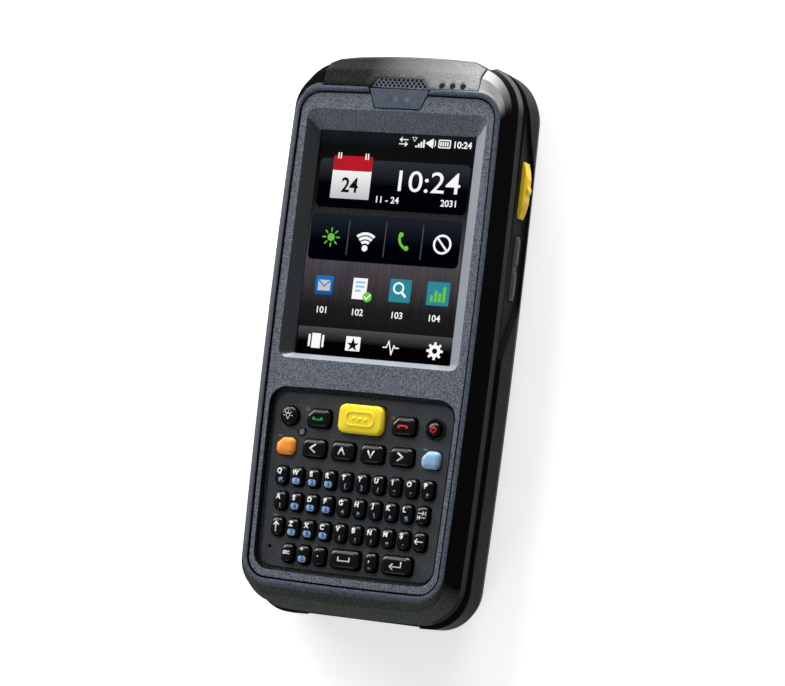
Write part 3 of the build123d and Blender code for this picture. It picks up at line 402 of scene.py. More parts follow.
def makeHeadWindow():
    material, tree, shader = startMoulded(
        "smokedPolycarbonate", "#4a535f", "#525b68", grain=3.0, rough=0.3, specular=0.15, edge=0.25)
    place = addNode(tree, "ShaderNodeTexCoord")
    y, z = headSensors["place"]
    start, end = headSensors["blur"]
    color = sourceOf(shader, "Base Color")
    for x, tone in headSensors["dots"]:
        away = addNode(tree, "ShaderNodeVectorMath", {"operation": "DISTANCE"}, {
            0: (place, "Object"), 1: (x * mm, y * mm, z * mm)})
        dot = addNode(tree, "ShaderNodeMapRange", {"interpolation_type": "SMOOTHSTEP"}, {
            "Value": (away, "Value"), "From Min": start * mm, "From Max": end * mm,
            "To Min": headSensors["strength"], "To Max": 0.0})
        color = paintLayers(tree, color, (dot, tone))
    setInputs(tree, shader, {"Base Color": color})
    return material


# Touch glass over the lit screen: a smooth black sheet, under which the picture is brushed dark and
# fades to black toward the foot
glassPicture = {
    "ends": (63.2, -7.8),  # mm in Y
    "stops": [(0.0, "#10191c"), (0.055, "#060a0c"), (0.06, "#050405"), (0.30, "#121011"),
              (0.56, "#494447"), (0.68, "#39353a"), (0.78, "#1a191b"), (0.872, "#101012")],
    "streaks": {"width": 0.5, "squeeze": 0.03, "detail": 2.0},
    "streakBand": (0.35, 0.65),
    "streakLight": (0.8, 1.2),
}


def makeTouchGlass():
    material, tree, shader = startMaterial("touchGlass", {
        "Base Color": linearColor("#030303"), "Roughness": 0.2, "Specular IOR Level": 0.03,
        "Emission Strength": 1.0})
    start, end = glassPicture["ends"]
    down = fadeIn(tree, ((placeOf(tree), "Y"), start * mm, end * mm, "LINEAR"))
    tone = addNode(tree, "ShaderNodeValToRGB", None, {"Fac": down}, glassPicture["stops"])
    start, end = glassPicture["streakBand"]
    dim, bright = glassPicture["streakLight"]
    streak = addNode(tree, "ShaderNodeMapRange", None, {
        "Value": addStreaks(tree, **glassPicture["streaks"]), "From Min": start, "From Max": end,
        "To Min": dim, "To Max": bright})
    lit = addNode(tree, "ShaderNodeVectorMath", {"operation": "SCALE"}, {0: tone, "Scale": streak})
    setInputs(tree, shader, {"Emission Color": lit})
    return material


# Black keys: glossy polycarbonate whose shine shows where the cap turns to the head and the left
keyShine = {
    "leftShare": -0.5,
    "turn": (0.12, 0.75),
    "coat": {"Coat Roughness": 0.3, "Coat IOR": 1.6},
}


def makeKeyBlack():
    material, tree, shader = startMoulded(
        "polycarbonateBlack", "#050506", "#080809", grain=3.0, rough=0.24, specular=0.07, edge=0.1)
    facing = facingOf(tree, "Normal")
    headward = addNode(tree, "ShaderNodeMath", {"operation": "MULTIPLY_ADD"}, {
        0: (facing, "X"), 1: keyShine["leftShare"], 2: (facing, "Y")})
    shine = fadeIn(tree, (headward, *keyShine["turn"], "SMOOTHSTEP"))
    setInputs(tree, shader, {"Coat Weight": shine, **keyShine["coat"]})
    return material


milkyTone = "#7c828a"


# Lenses: glossy acrylic, clear over dark sensors in the head and milky in the keypad
def makeLens():
    material, tree, shader = startMoulded(
        "lensAcrylic", "#08090a", "#151618", grain=0.6, rough=0.1, specular=0.3, edge=0.1)
    inKeypad = where(tree, ((placeOf(tree), "Y"), "LESS_THAN", 0.0))
    setInputs(tree, shader, {"Base Color": paintLayers(
        tree, sourceOf(shader, "Base Color"), (inKeypad, milkyTone))})
    return material


finishes = {
    "fascia": makeFascia(),
    "panel": makePanel(),
    "headWindow": makeHeadWindow(),
    "touchGlass": makeTouchGlass(),
    "shell": makeShell(),
    "cap": makeTopCap(),
    # black PC-ABS with a fine matt grain
    "rear": moulded("rearAbs", "#0e0f0e", "#1c1d1c", grain=0.45, depth=0.03, rough=0.42,
                    specular=0.03, edge=0.8),
    # black TPE, dull all over
    "rubber": moulded("sealRubber", "#0a0b0a", "#10110f", grain=0.8, depth=0.01, rough=0.62,
                      specular=0.02, edge=0.3),
    "keyBlack": makeKeyBlack(),
    # coloured polycarbonate keys: smooth, with a soft shine
    "keyYellow": moulded("polycarbonateYellow", "#ffe233", "#ffe640", grain=2.0, depth=0.002,
                         rough=0.36, specular=0.25, edge=0.2),
    "keyOrange": moulded("polycarbonateOrange", "#ff973a", "#ffa24a", grain=2.0, rough=0.28,
                         specular=0.25, edge=0.2),
    "keyBlue": moulded("polycarbonateBlue", "#8fb2d4", "#9bbede", grain=2.0, rough=0.28,
                       specular=0.25, edge=0.2),
    # satin ABS of the side controls, rounded over by hands
    "triggerYellow": moulded("satinAbsYellow", "#fbd02c", "#ffda40", grain=2.0, depth=0.002,
                             rough=0.36, specular=0.2, edge=1.1),
    "keyGrey": moulded("satinAbsGrey", "#3e4243", "#484c4d", grain=0.5, depth=0.004, rough=0.4,
                       specular=0.1, edge=0.3),
    # painted lattice over the earpiece, even and slightly shiny
    "grille": moulded("paintedLattice", "#5c626e", "#6e7581", grain=0.3, depth=0.004, rough=0.35,
                      specular=0.2, edge=0.1),
    "lens": makeLens(),
    # dark red acrylic, as glossy as glass
    "scanGlass": moulded("redAcrylic", "#16060a", "#21080d", grain=4.0, rough=0.08, specular=0.6,
                         edge=0.1),
    # green solder mask over the boards
    "board": moulded("solderMask", "#0d3a22", "#16512f", grain=0.8, depth=0.01, rough=0.4,
                     specular=0.5, edge=0.1),
    # dull grey ABS of the battery
    "pack": moulded("batteryAbs", "#2a2c30", "#33363b", grain=0.4, depth=0.01, rough=0.5,
                    specular=0.4, edge=0.4),
    # grey steel with a cool, broken shine
    "steel": brushedMetal("screwSteel", "#6c6e72", "#9a9da3", 0.32),
    # warm and bright brass
    "brass": brushedMetal("contactBrass", "#b08a3c", "#d4b368", 0.25),
    # printed marks on keys and panel: matt ink without a grain of its own
    "inkWhite": moulded("inkWhite", "#dfe1de", "#eceeeb"),
    "inkBlue": moulded("inkBlue", "#86aee0", "#93b9e8"),
    "inkNavy": moulded("inkNavy", "#0f1b2c", "#162336"),
    "inkGreen": moulded("inkGreen", "#128a3c", "#1b9a48"),
    "inkRed": moulded("inkRed", "#c8242c", "#d42f36"),
    "inkOrange": moulded("inkOrange", "#8a5a22", "#9a662a"),
    "inkGrey": moulded("inkGrey", "#74797f", "#80858b"),
}

# finish: the nodes that have it
dressed = {
    "fascia": ("front_fascia",),
    "panel": ("keypad_panel",),
    "headWindow": ("head_window",),
    "touchGlass": ("display_window",),
    "shell": ("front_housing",),
    "cap": ("top_cap",),
    "rear": ("rear_housing", "battery_cover", "battery_latch", "dock_connector"),
    "rubber": ("housing_seal", "display_gasket", "keypad_mat"),
    "triggerYellow": ("side_trigger_right", "side_trigger_left"),
    "keyGrey": ("volume_key",),
    "grille": ("earpiece_grille",),
    "lens": ("indicator_lenses", "earpiece", "loudspeaker", "scan_engine"),
    "scanGlass": ("scan_window",),
    "board": ("main_board", "keypad_board"),
    "pack": ("battery_pack",),
    "steel": ("housing_screws", "display_module"),
    "brass": ("battery_contacts",),
}


def setFinish(piece, finish):
    piece.data.materials.clear()
    piece.data.materials.append(finish)


for finish, names in dressed.items():
    for name in names:
        setFinish(nodes[name], finishes[finish])
print("stage: materials done")


def takeUp(piece):
    # the only selected piece, and the active one
    bpy.ops.object.select_all(action="DESELECT")
    piece.select_set(True)
    bpy.context.view_layer.objects.active = piece


def pick(piece, kind, accepts):
    # selects the vertices, edges or faces that the test accepts and stays in edit mode
    takeUp(piece)
    bpy.ops.object.mode_set(mode="EDIT")
    bpy.ops.mesh.select_mode(type=kind)
    bpy.ops.mesh.select_all(action="DESELECT")
    bpy.ops.object.mode_set(mode="OBJECT")
    mesh = piece.data
    for item in {"VERT": mesh.vertices, "EDGE": mesh.edges, "FACE": mesh.polygons}[kind]:
        item.select = accepts(item)
    bpy.ops.object.mode_set(mode="EDIT")


def applyPlace(piece):
    takeUp(piece)
    bpy.ops.object.transform_apply(location=True, rotation=True, scale=True)


def copyPiece(source, name, x, y):
    # a copy with its own mesh, moved by x and y millimetres
    made = source.copy()
    made.data = source.data.copy()
    made.data.transform(Matrix.Translation((x * mm, y * mm, 0)))
    made.name = made.data.name = name
    bpy.context.collection.objects.link(made)
    return made


def joinPieces(pieces, name):
    takeUp(pieces[0])
    for piece in pieces:
        piece.select_set(True)
    if len(pieces) > 1:
        bpy.ops.object.join()
    joined = bpy.context.object
    joined.name = joined.data.name = name
    return joined


capShape = {
    "foot": 28.3,  # mm above the back of the terminal, hidden under the panel
    "wallTop": 29.9,
    "crown": 0.18,
    "sides": 40,  # of a round key
    "cornerSteps": 6,
    "cutRounding": (0.55, 3),  # radius and steps at the ends of a cut corner
    "flat": 0.9,  # the top is what faces up more than this
}

capKinds = {
    # kind: width, length, corner radius, cut corner, run-in, rise and steps of the dome
    "small": (4.4, 5.9, 1.85, 0.0, 1.75, 1.5, 9),
    "arrow": (8.2, 5.8, 2.0, 0.0, 1.9, 1.5, 9),
    "call": (8.2, 5.8, 2.0, 2.1, 1.8, 1.5, 9),
    "function": (6.2, 5.6, 1.7, 2.1, 1.5, 1.5, 8),
    "wide": (10.4, 5.9, 2.0, 0.0, 1.9, 1.5, 9),
    "scan": (15.4, 9.2, 2.3, 0.0, 0.85, 1.7, 8),
    "light": (6.2, 6.2, 0.0, 0.0, 2.2, 1.5, 7),
    "power": (4.5, 4.5, 0.0, 0.0, 1.6, 1.4, 7),
}


def makeCap(kind):
    width, length, corner, cut, runIn, rise, steps = capKinds[kind]
    middle = (capShape["foot"] + capShape["wallTop"]) / 2 * mm
    height = (capShape["wallTop"] - capShape["foot"]) * mm
    bpy.ops.object.select_all(action="DESELECT")
    if corner:
        bpy.ops.mesh.primitive_cube_add(size=1, location=(0, 0, middle),
                                        scale=(width * mm, length * mm, height))
    else:
        bpy.ops.mesh.primitive_cylinder_add(vertices=capShape["sides"], radius=width / 2 * mm,
                                            depth=height, location=(0, 0, middle))
    cap = bpy.context.object
    applyPlace(cap)

    def isUpright(edge):
        low, high = (cap.data.vertices[i].co for i in edge.vertices)
        return abs(low.z - high.z) > height / 2

    def isCutCorner(edge):
        low = cap.data.vertices[edge.vertices[0]].co
        return isUpright(edge) and low.x < 0 and low.y > 0

    def roundEdges(accepts, size, segments):
        pick(cap, "EDGE", accepts)
        bpy.ops.mesh.bevel(offset=size * mm, segments=segments, affect="EDGES")
        bpy.ops.object.mode_set(mode="OBJECT")

    if corner:
        roundEdges(lambda edge: isUpright(edge) and not (cut and isCutCorner(edge)), corner,
                   capShape["cornerSteps"])
    if cut:
        roundEdges(isCutCorner, cut, 1)
        roundEdges(isCutCorner, *capShape["cutRounding"])
    pick(cap, "FACE", lambda face: face.normal.z > capShape["flat"])
    for step in range(steps):
        before, after = (math.radians(90 * s / steps) for s in (step, step + 1))
        bpy.ops.mesh.inset(thickness=runIn * (math.cos(before) - math.cos(after)) * mm,
                           depth=rise * (math.sin(after) - math.sin(before)) * mm)
    bpy.ops.mesh.poke(offset=capShape["crown"] * mm)
    bpy.ops.object.mode_set(mode="OBJECT")
    bpy.ops.object.shade_smooth()
    return cap


def capTop(kind):
    rise = capKinds[kind][5]
    return capShape["wallTop"] + rise + capShape["crown"]


drawing = {
    "capital": 0.72,  # its height as a share of the font's size
    "curveSteps": 4,
    "cornerSteps": 4,
    "gridSteps": (8, 6),
    "gridCorner": 0.93,  # how far out a gridded plate keeps its corners
    "barSteps": 6,
    "ringSides": 72,
}


def makeGlyph(text, height, x, y, z, finish, weight=0.0, stretch=1.0):
    # a flat letter or sign, centred on x, y; height is that of a capital in mm
    bpy.ops.object.select_all(action="DESELECT")
    bpy.ops.object.text_add(location=(0, 0, 0))
    word = bpy.context.object
    word.data.body = text
    word.data.size = height / drawing["capital"] * mm
    word.data.offset = weight * mm
    word.data.resolution_u = drawing["curveSteps"]
    bpy.ops.object.convert(target="MESH")
    made = bpy.context.object
    corners = [Vector(corner) for corner in made.bound_box]
    middle = (corners[0] + corners[6]) / 2
    made.data.transform(Matrix.Translation((x * mm, y * mm, z * mm))
                        @ Matrix.Diagonal((stretch, 1, 1, 1)) @ Matrix.Translation(-middle))
    setFinish(made, finish)
    return made


def makeGrid(width, length, x, y, z, finish):
    # a flat plate of small faces with cut corners, to be laid on a dome
    bpy.ops.object.select_all(action="DESELECT")
    across, along = drawing["gridSteps"]
    bpy.ops.mesh.primitive_grid_add(x_subdivisions=across, y_subdivisions=along, size=1,
                                    location=(x * mm, y * mm, z * mm))
    plate = bpy.context.object
    plate.scale = (width * mm, length * mm, 1)
    applyPlace(plate)
    reach = drawing["gridCorner"] * (width + length) / 2 * mm
    pick(plate, "VERT", lambda point: abs(point.co.x - x * mm) + abs(point.co.y - y * mm) > reach)
    bpy.ops.mesh.delete(type="VERT")
    bpy.ops.object.mode_set(mode="OBJECT")
    setFinish(plate, finish)
    return plate


def makePlate(width, length, radius, x, y, z, finish):
    # a flat rounded rectangle
    bpy.ops.object.select_all(action="DESELECT")
    bpy.ops.mesh.primitive_plane_add(size=1, location=(x * mm, y * mm, z * mm))
    plate = bpy.context.object
    plate.scale = (width * mm, length * mm, 1)
    applyPlace(plate)
    if radius:
        bpy.ops.object.mode_set(mode="EDIT")
        bpy.ops.mesh.select_all(action="SELECT")
        bpy.ops.mesh.bevel(offset=radius * mm, segments=drawing["cornerSteps"], affect="VERTICES")
        bpy.ops.object.mode_set(mode="OBJECT")
    setFinish(plate, finish)
    return plate


def makeStrokes(paths, width, x, y, z, finish):
    # thin bars along paths, whose points are in mm from x, y
    bars = []
    for path in paths:
        for start, end in zip(path, path[1:]):
            bpy.ops.object.select_all(action="DESELECT")
            bpy.ops.mesh.primitive_grid_add(x_subdivisions=drawing["barSteps"], y_subdivisions=1,
                                            size=1)
            bar = bpy.context.object
            bar.scale = ((math.dist(start, end) + width) * mm, width * mm, 1)
            bar.rotation_euler.z = math.atan2(end[1] - start[1], end[0] - start[0])
            across, along = ((a + b) / 2 for a, b in zip(start, end))
            bar.location = ((x + across) * mm, (y + along) * mm, z * mm)
            applyPlace(bar)
            bars.append(bar)
    strokes = joinPieces(bars, "strokes")
    setFinish(strokes, finish)
    return strokes


def spokes(inner, outer, count):
    # short paths that stand round a centre
    headings = [math.tau * index / count for index in range(count)]
    return [tuple((radius * math.sin(turn), radius * math.cos(turn)) for radius in (inner, outer))
            for turn in headings]


def makeArc(radius, width, span, heading, x, y, z, finish):
    # a flat ring, or the part of it that spans these degrees about a heading clockwise from +Y
    bpy.ops.object.select_all(action="DESELECT")
    bpy.ops.mesh.primitive_circle_add(
        vertices=drawing["ringSides"], radius=(radius + width / 2) * mm, fill_type="NGON",
        location=(x * mm, y * mm, z * mm))
    ring = bpy.context.object
    applyPlace(ring)
    pick(ring, "FACE", lambda face: True)
    bpy.ops.mesh.inset(thickness=width * mm)
    bpy.ops.mesh.delete(type="FACE")
    bpy.ops.object.mode_set(mode="OBJECT")

    def isOutside(vertex):
        turn = math.degrees(math.atan2(vertex.co.x - x * mm, vertex.co.y - y * mm)) - heading
        return abs((turn + 180) % 360 - 180) > span / 2

    if span < 360:
        pick(ring, "VERT", isOutside)
        bpy.ops.mesh.delete(type="VERT")
        bpy.ops.object.mode_set(mode="OBJECT")
    setFinish(ring, finish)
    return ring


def layOn(mark, cap, lift, cuts):
    # presses a flat mark down on the domed cap
    takeUp(mark)
    bpy.ops.object.mode_set(mode="EDIT")
    bpy.ops.mesh.select_all(action="SELECT")
    bpy.ops.mesh.subdivide(number_cuts=cuts)
    bpy.ops.object.mode_set(mode="OBJECT")
    wrap = mark.modifiers.new("layOn", "SHRINKWRAP")
    wrap.target = cap
    wrap.wrap_method = "PROJECT"
    wrap.use_project_z = True
    wrap.use_negative_direction = True
    wrap.offset = lift * mm
    bpy.ops.object.modifier_apply(modifier="layOn")


marks = {
    "letter": 1.5,  # height of a capital in mm
    "sign": 1.15,
    "digit": 1.4,
    "box": (2.6, 1.9),  # width and length of the plate behind a digit
    "letterPlace": (-0.4, 1.25),
    "boxPlace": (0.0, -1.35),
    "signPlace": (0.45, -1.4),
    "digitShift": 0.2,
    "weight": 0.09,
    "digitWeight": 0.03,
    "start": 0.5,  # mm over the cap before a mark is pressed down on it
    "lift": (0.03, 0.015),  # mm of the first piece off the cap, and of each one on it
    "cuts": (1, 4),  # through each face of a gridded piece and of any other, to follow the dome
}

lampRays = spokes(1.2, 1.5, 8)

# signs drawn with bars: width of a bar, paths of points in mm
drawnSigns = {
    "left": (0.5, [((0.75, 1.15), (-0.85, 0), (0.75, -1.15))]),
    "right": (0.5, [((-0.75, 1.15), (0.85, 0), (-0.75, -1.15))]),
    "up": (0.5, [((-0.95, -0.85), (0, 0.95), (0.95, -0.85))]),
    "down": (0.5, [((-0.95, 0.85), (0, -0.95), (0.95, 0.85))]),
    "enter": (0.36, [((1.9, 1.1), (1.9, -0.45), (-1.8, -0.45)),
                     ((-0.9, 0.4), (-1.8, -0.45), (-0.9, -1.3))]),
    "shift": (0.38, [((0, -1.5), (0, 1.3)), ((-0.8, 0.5), (0, 1.4), (0.8, 0.5))]),
    "backspace": (0.38, [((1.3, 0), (-1.2, 0)), ((-0.5, 0.75), (-1.25, 0), (-0.5, -0.75))]),
    "tab": (0.26, [((-1.2, 0.6), (0.9, 0.6)), ((0.4, 1.1), (0.9, 0.6), (0.4, 0.1)),
                   ((1.3, 1.15), (1.3, 0.05)), ((1.2, -0.7), (-0.9, -0.7)),
                   ((-0.4, -0.2), (-0.9, -0.7), (-0.4, -1.2)), ((-1.3, -0.15), (-1.3, -1.25))]),
    "bracket": (0.42, [((-1.9, 0.5), (-1.9, -0.5), (1.9, -0.5), (1.9, 0.5))]),
    "lamp": (0.22, [((-0.3, -0.75), (-0.35, -0.35), (-0.65, 0.05), (-0.6, 0.5), (0, 0.8),
                     (0.6, 0.5), (0.65, 0.05), (0.35, -0.35), (0.3, -0.75), (-0.3, -0.75)),
                    ((-0.2, -1.05), (0.2, -1.05)), *lampRays[:3], *lampRays[6:]]),
}

# a handset is a bar with a pad at each end, above it or below it
handset = {
    "bar": (3.6, 0.55),
    "pad": (0.95, 0.85),
    "padPlace": (1.35, 0.35),
    "sides": {"handsetUp": 1, "handsetDown": -1},
}

keyRows = {
    # y, pitch, body of the plain letters, the keys, their second marks
    "upper": (-46.7, 5.58, "letter_keys_upper", tuple("QWERTYUIOP"), "@123()/*-+"),
    "middle": (-54.6, 5.42, "letter_keys_middle", (*"ASDFGHJKL", "tab"), "!456<>\\^% "),
    "lower": (-62.7, 5.42, "letter_keys_lower", ("shift", *"ZXCVBNM$", "backspace"), " 789?:;=. "),
}
controlKeys = ("tab", "shift", "backspace")
movedAlone = (*"WERSDFZXC", *controlKeys)

singleKeys = {
    # body: kind, x, y, finish, marks as (sign, dx, dy, height, ink), where only text has a height
    "key_light": ("light", -24.9, -27.9, "keyBlack", [("lamp", 0, 0, 0, "inkWhite")]),
    "key_talk": ("call", -14.6, -27.9, "keyBlack", [("handsetUp", 0.1, -0.5, 0, "inkGreen")]),
    "key_end": ("call", 14.6, -27.9, "keyBlack", [("handsetDown", 0.1, 0.1, 0, "inkRed")]),
    "key_power": ("power", 24.9, -27.9, "keyBlack", [("⏻", 0, 0, 1.7, "inkRed")]),
    "key_orange": ("function", -24.9, -37.4, "keyOrange", []),
    "key_blue": ("function", 24.9, -37.4, "keyBlue", []),
    "key_scan": ("scan", 0.0, -27.0, "keyYellow", []),
    "key_left": ("arrow", -15.0, -37.4, "keyBlack", [("left", 0, 0, 0, "inkWhite")]),
    "key_up": ("arrow", -5.0, -37.4, "keyBlack", [("up", 0, 0, 0, "inkWhite")]),
    "key_down": ("arrow", 5.0, -37.4, "keyBlack", [("down", 0, 0, 0, "inkWhite")]),
    "key_right": ("arrow", 15.0, -37.4, "keyBlack", [("right", 0, 0, 0, "inkWhite")]),
    "key_escape": ("small", -19.7, -70.6, "keyBlack", [("ESC", -0.1, 0.2, 1.0, "inkWhite")]),
    "key_zero": ("small", -14.25, -70.6, "keyBlack", [("*", -0.3, 1.5, 1.4, "inkWhite"),
                                                     ("box0", 0, -1.35, 0, "inkBlue")]),
    "key_period": ("small", -8.8, -70.6, "keyBlack", [(".", 0, 0.1, 1.6, "inkWhite")]),
    "key_space": ("wide", 0.0, -70.6, "keyBlack", [("bracket", 0.1, 0.0, 0, "inkWhite")]),
    "key_comma": ("small", 8.8, -70.6, "keyBlack", [(",", -0.1, 0.2, 1.8, "inkWhite"),
                                                   ("_", 0.2, -1.7, 1.0, "inkBlue")]),
    "key_enter": ("wide", 17.6, -70.6, "keyBlack", [("enter", 0, 0, 0, "inkWhite")]),
}


def makeMark(entry, x, y, cap, level):
    # a mark of a key, laid on its cap; gives the pieces it is made of
    sign, dx, dy, height, ink = entry
    x, y = x + dx, y + dy
    finish = finishes[ink]
    if sign.startswith("box"):
        made = [makeGrid(*marks["box"], x, y, level, finish),
                makeGlyph(sign[3:], marks["digit"], x + marks["digitShift"], y, level,
                          finishes["inkNavy"], marks["digitWeight"])]
    elif sign in handset["sides"]:
        across, along = handset["padPlace"]
        along *= handset["sides"][sign]
        made = [makeGrid(*handset["bar"], x, y, level, finish)]
        for side in (-1, 1):
            made.append(makeGrid(*handset["pad"], x + across * side, y + along, level, finish))
    elif sign in drawnSigns:
        barWidth, paths = drawnSigns[sign]
        made = [makeStrokes(paths, barWidth, x, y, level, finish)]
    else:
        made = [makeGlyph(sign, height, x, y, level, finish, marks["weight"])]
    first, step = marks["lift"]
    few, many = marks["cuts"]
    for index, piece in enumerate(made):
        gridded = all(len(face.vertices) == 4 for face in piece.data.polygons)
        layOn(piece, cap, first + step * index, few if gridded else many)
    return made


def addKeypad():
    kinds = {kind: makeCap(kind) for kind in capKinds}
    groups = {}

    def addKey(body, kind, x, y, finish, entries):
        cap = copyPiece(kinds[kind], "cap", x, y)
        setFinish(cap, finishes[finish])
        group = groups.setdefault(body, {"caps": [], "marks": []})
        group["caps"].append(cap)
        for entry in entries:
            group["marks"].extend(makeMark(entry, x, y, cap, capTop(kind) + marks["start"]))

    for body, key in singleKeys.items():
        addKey(body, *key)
    for y, pitch, shared, keys, seconds in keyRows.values():
        for index, (key, second) in enumerate(zip(keys, seconds)):
            if key in controlKeys:
                entries = [(key, 0, 0.1, 0, "inkWhite")]
            else:
                entries = [(key, *marks["letterPlace"], marks["letter"], "inkWhite")]
                if second.isdigit():
                    entries.append((f"box{second}", *marks["boxPlace"], 0, "inkBlue"))
                else:
                    entries.append((second, *marks["signPlace"], marks["sign"], "inkBlue"))
            body = f"key_{key.lower()}" if key in movedAlone else shared
            addKey(body, "small", (index - (len(keys) - 1) / 2) * pitch, y, "keyBlack", entries)

    for body, group in groups.items():
        cap = joinPieces(group["caps"], f"cap_{body}")
        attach(cap, body)
        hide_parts(body)
        if group["marks"]:
            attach(joinPieces(group["marks"], f"marks_{body}"), body)
    for source in kinds.values():
        bpy.data.objects.remove(source)


# Raised frame and three dots moulded on the scan key
scanRelief = {"width": 10.0, "length": 4.8, "corner": 1.9, "line": 0.6, "rise": 0.2, "lift": 0.02,
              "dotPitch": 2.1, "dotRadius": 0.6, "dotRise": 0.34, "dotSides": (16, 8),
              "place": (0.0, -27.0)}


def addScanRelief():
    x, y = scanRelief["place"]
    top = capTop("scan") - capShape["crown"] + scanRelief["lift"]
    plate = makePlate(scanRelief["width"], scanRelief["length"], scanRelief["corner"], x, y, top,
                      finishes["keyYellow"])
    pick(plate, "FACE", lambda face: True)
    bpy.ops.mesh.inset(thickness=scanRelief["line"] * mm)
    bpy.ops.mesh.delete(type="FACE")
    bpy.ops.mesh.select_all(action="SELECT")
    up = (0, 0, scanRelief["rise"] * mm)
    bpy.ops.mesh.extrude_region_move(TRANSFORM_OT_translate={"value": up})
    bpy.ops.mesh.select_all(action="SELECT")
    bpy.ops.mesh.normals_make_consistent(inside=False)
    bpy.ops.object.mode_set(mode="OBJECT")
    pieces = [plate]
    around, down = scanRelief["dotSides"]
    for step in (-1, 0, 1):
        bpy.ops.object.select_all(action="DESELECT")
        bpy.ops.mesh.primitive_uv_sphere_add(
            segments=around, ring_count=down, radius=scanRelief["dotRadius"] * mm,
            location=((x + step * scanRelief["dotPitch"]) * mm, y * mm, top * mm),
            scale=(1, 1, scanRelief["dotRise"] / scanRelief["dotRadius"]))
        dot = bpy.context.object
        applyPlace(dot)
        bpy.ops.object.shade_smooth()
        setFinish(dot, finishes["keyYellow"])
        pieces.append(dot)
    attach(joinPieces(pieces, "scanRelief"), "key_scan")


panelPrints = {
    "level": 29.23,  # just over the panel
    # sign, x, y, height, ink
    "signs": [
        ("✱", -19.2, -25.2, 1.7, "inkOrange"), ("✱", 10.1, -25.5, 1.5, "inkOrange"),
        ("■■", -27.7, -34.3, 0.6, "inkGrey"), ("■■", 22.3, -34.3, 0.6, "inkGrey"),
        ("■■", -26.0, -59.15, 0.6, "inkGrey"), ("\U0001F512", 22.2, -59.2, 1.7, "inkOrange"),
        ("○", -11.1, -67.7, 1.5, "inkOrange"), ("○", 6.55, -67.4, 1.5, "inkOrange"),
    ],
}


def addPanelPrints():
    pieces = [makeGlyph(sign, height, x, y, panelPrints["level"], finishes[ink])
              for sign, x, y, height, ink in panelPrints["signs"]]
    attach(joinPieces(pieces, "panelPrints"), "terminal")


# Black bezel ring round the status lens of the keypad
lensRing = {"place": (-20.4, -32.4, 29.3), "radius": 1.2, "thickness": 0.3, "sides": (32, 8)}


def addLensRing():
    bpy.ops.object.select_all(action="DESELECT")
    around, across = lensRing["sides"]
    bpy.ops.mesh.primitive_torus_add(
        major_segments=around, minor_segments=across, major_radius=lensRing["radius"] * mm,
        minor_radius=lensRing["thickness"] * mm, location=[c * mm for c in lensRing["place"]])
    ring = bpy.context.object
    applyPlace(ring)
    bpy.ops.object.shade_smooth()
    ring.name = ring.data.name = "lensRing"
    setFinish(ring, finishes["keyBlack"])
    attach(ring, "terminal")


# Dark crosses laid on the heads of the housing screws: painted shade standing in for their cross
# recesses
screwRecess = {"places": [(-30, 71.5), (30, 71.5), (-30, -73), (30, -73)], "level": 1.18,
               "bar": (2.3, 0.5, 0.03), "turns": (30, 120)}


def addScrewShadeCrosses():
    bars = []
    for x, y in screwRecess["places"]:
        for turn in screwRecess["turns"]:
            bpy.ops.object.select_all(action="DESELECT")
            bpy.ops.mesh.primitive_cube_add(
                size=1, location=(x * mm, y * mm, screwRecess["level"] * mm))
            bar = bpy.context.object
            bar.scale = [size * mm for size in screwRecess["bar"]]
            bar.rotation_euler.z = math.radians(turn)
            applyPlace(bar)
            setFinish(bar, finishes["rubber"])
            bars.append(bar)
    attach(joinPieces(bars, "screwShadeCrosses"), "terminal")


addKeypad()
addScanRelief()
addLensRing()
addScrewShadeCrosses()
addPanelPrints()
print("stage: keypad done")

screen = {
    "centre": (0.0, 27.7),
    "size": (53.28, 71.04),
    "level": 27.93,  # just over the glass
    "step": 0.012,  # from layer to layer
}

screenInks = {
    "white": screenInk("litWhite", "#f4f4f4", "#ffffff"),
    "grey": screenInk("litGrey", "#44484c", "#505458"),
    "card1": screenInk("cardUpper", "#2c3036", "#020307", ("Y", 54.3, 46.5)),
    "card2": screenInk("cardLower", "#1c212b", "#010308", ("Y", 37.0, 28.0)),
    "bar": screenInk("barFoot", "#4c4c50", "#030102", ("Y", 1.0, -3.6)),
    "red": screenInk("litRed", "#c01f2c", "#a81822"),
    "paper": screenInk("litPaper", "#fafafa", "#c2c4c8", ("Y", 52.0, 42.4)),
    "ink": screenInk("litInk", "#0c0c0e", "#101012"),
    "green": screenInk("litGreen", "#62b83c", "#74cc4c"),
    "blue": screenInk("litBlue", "#1c6fc0", "#0d4f96", ("Y", 16.5, 10.0)),
    "teal": screenInk("litTeal", "#2a8c9c", "#2f7f94"),
    "sky": screenInk("litSky", "#7fb4de", "#a4cdea"),
}

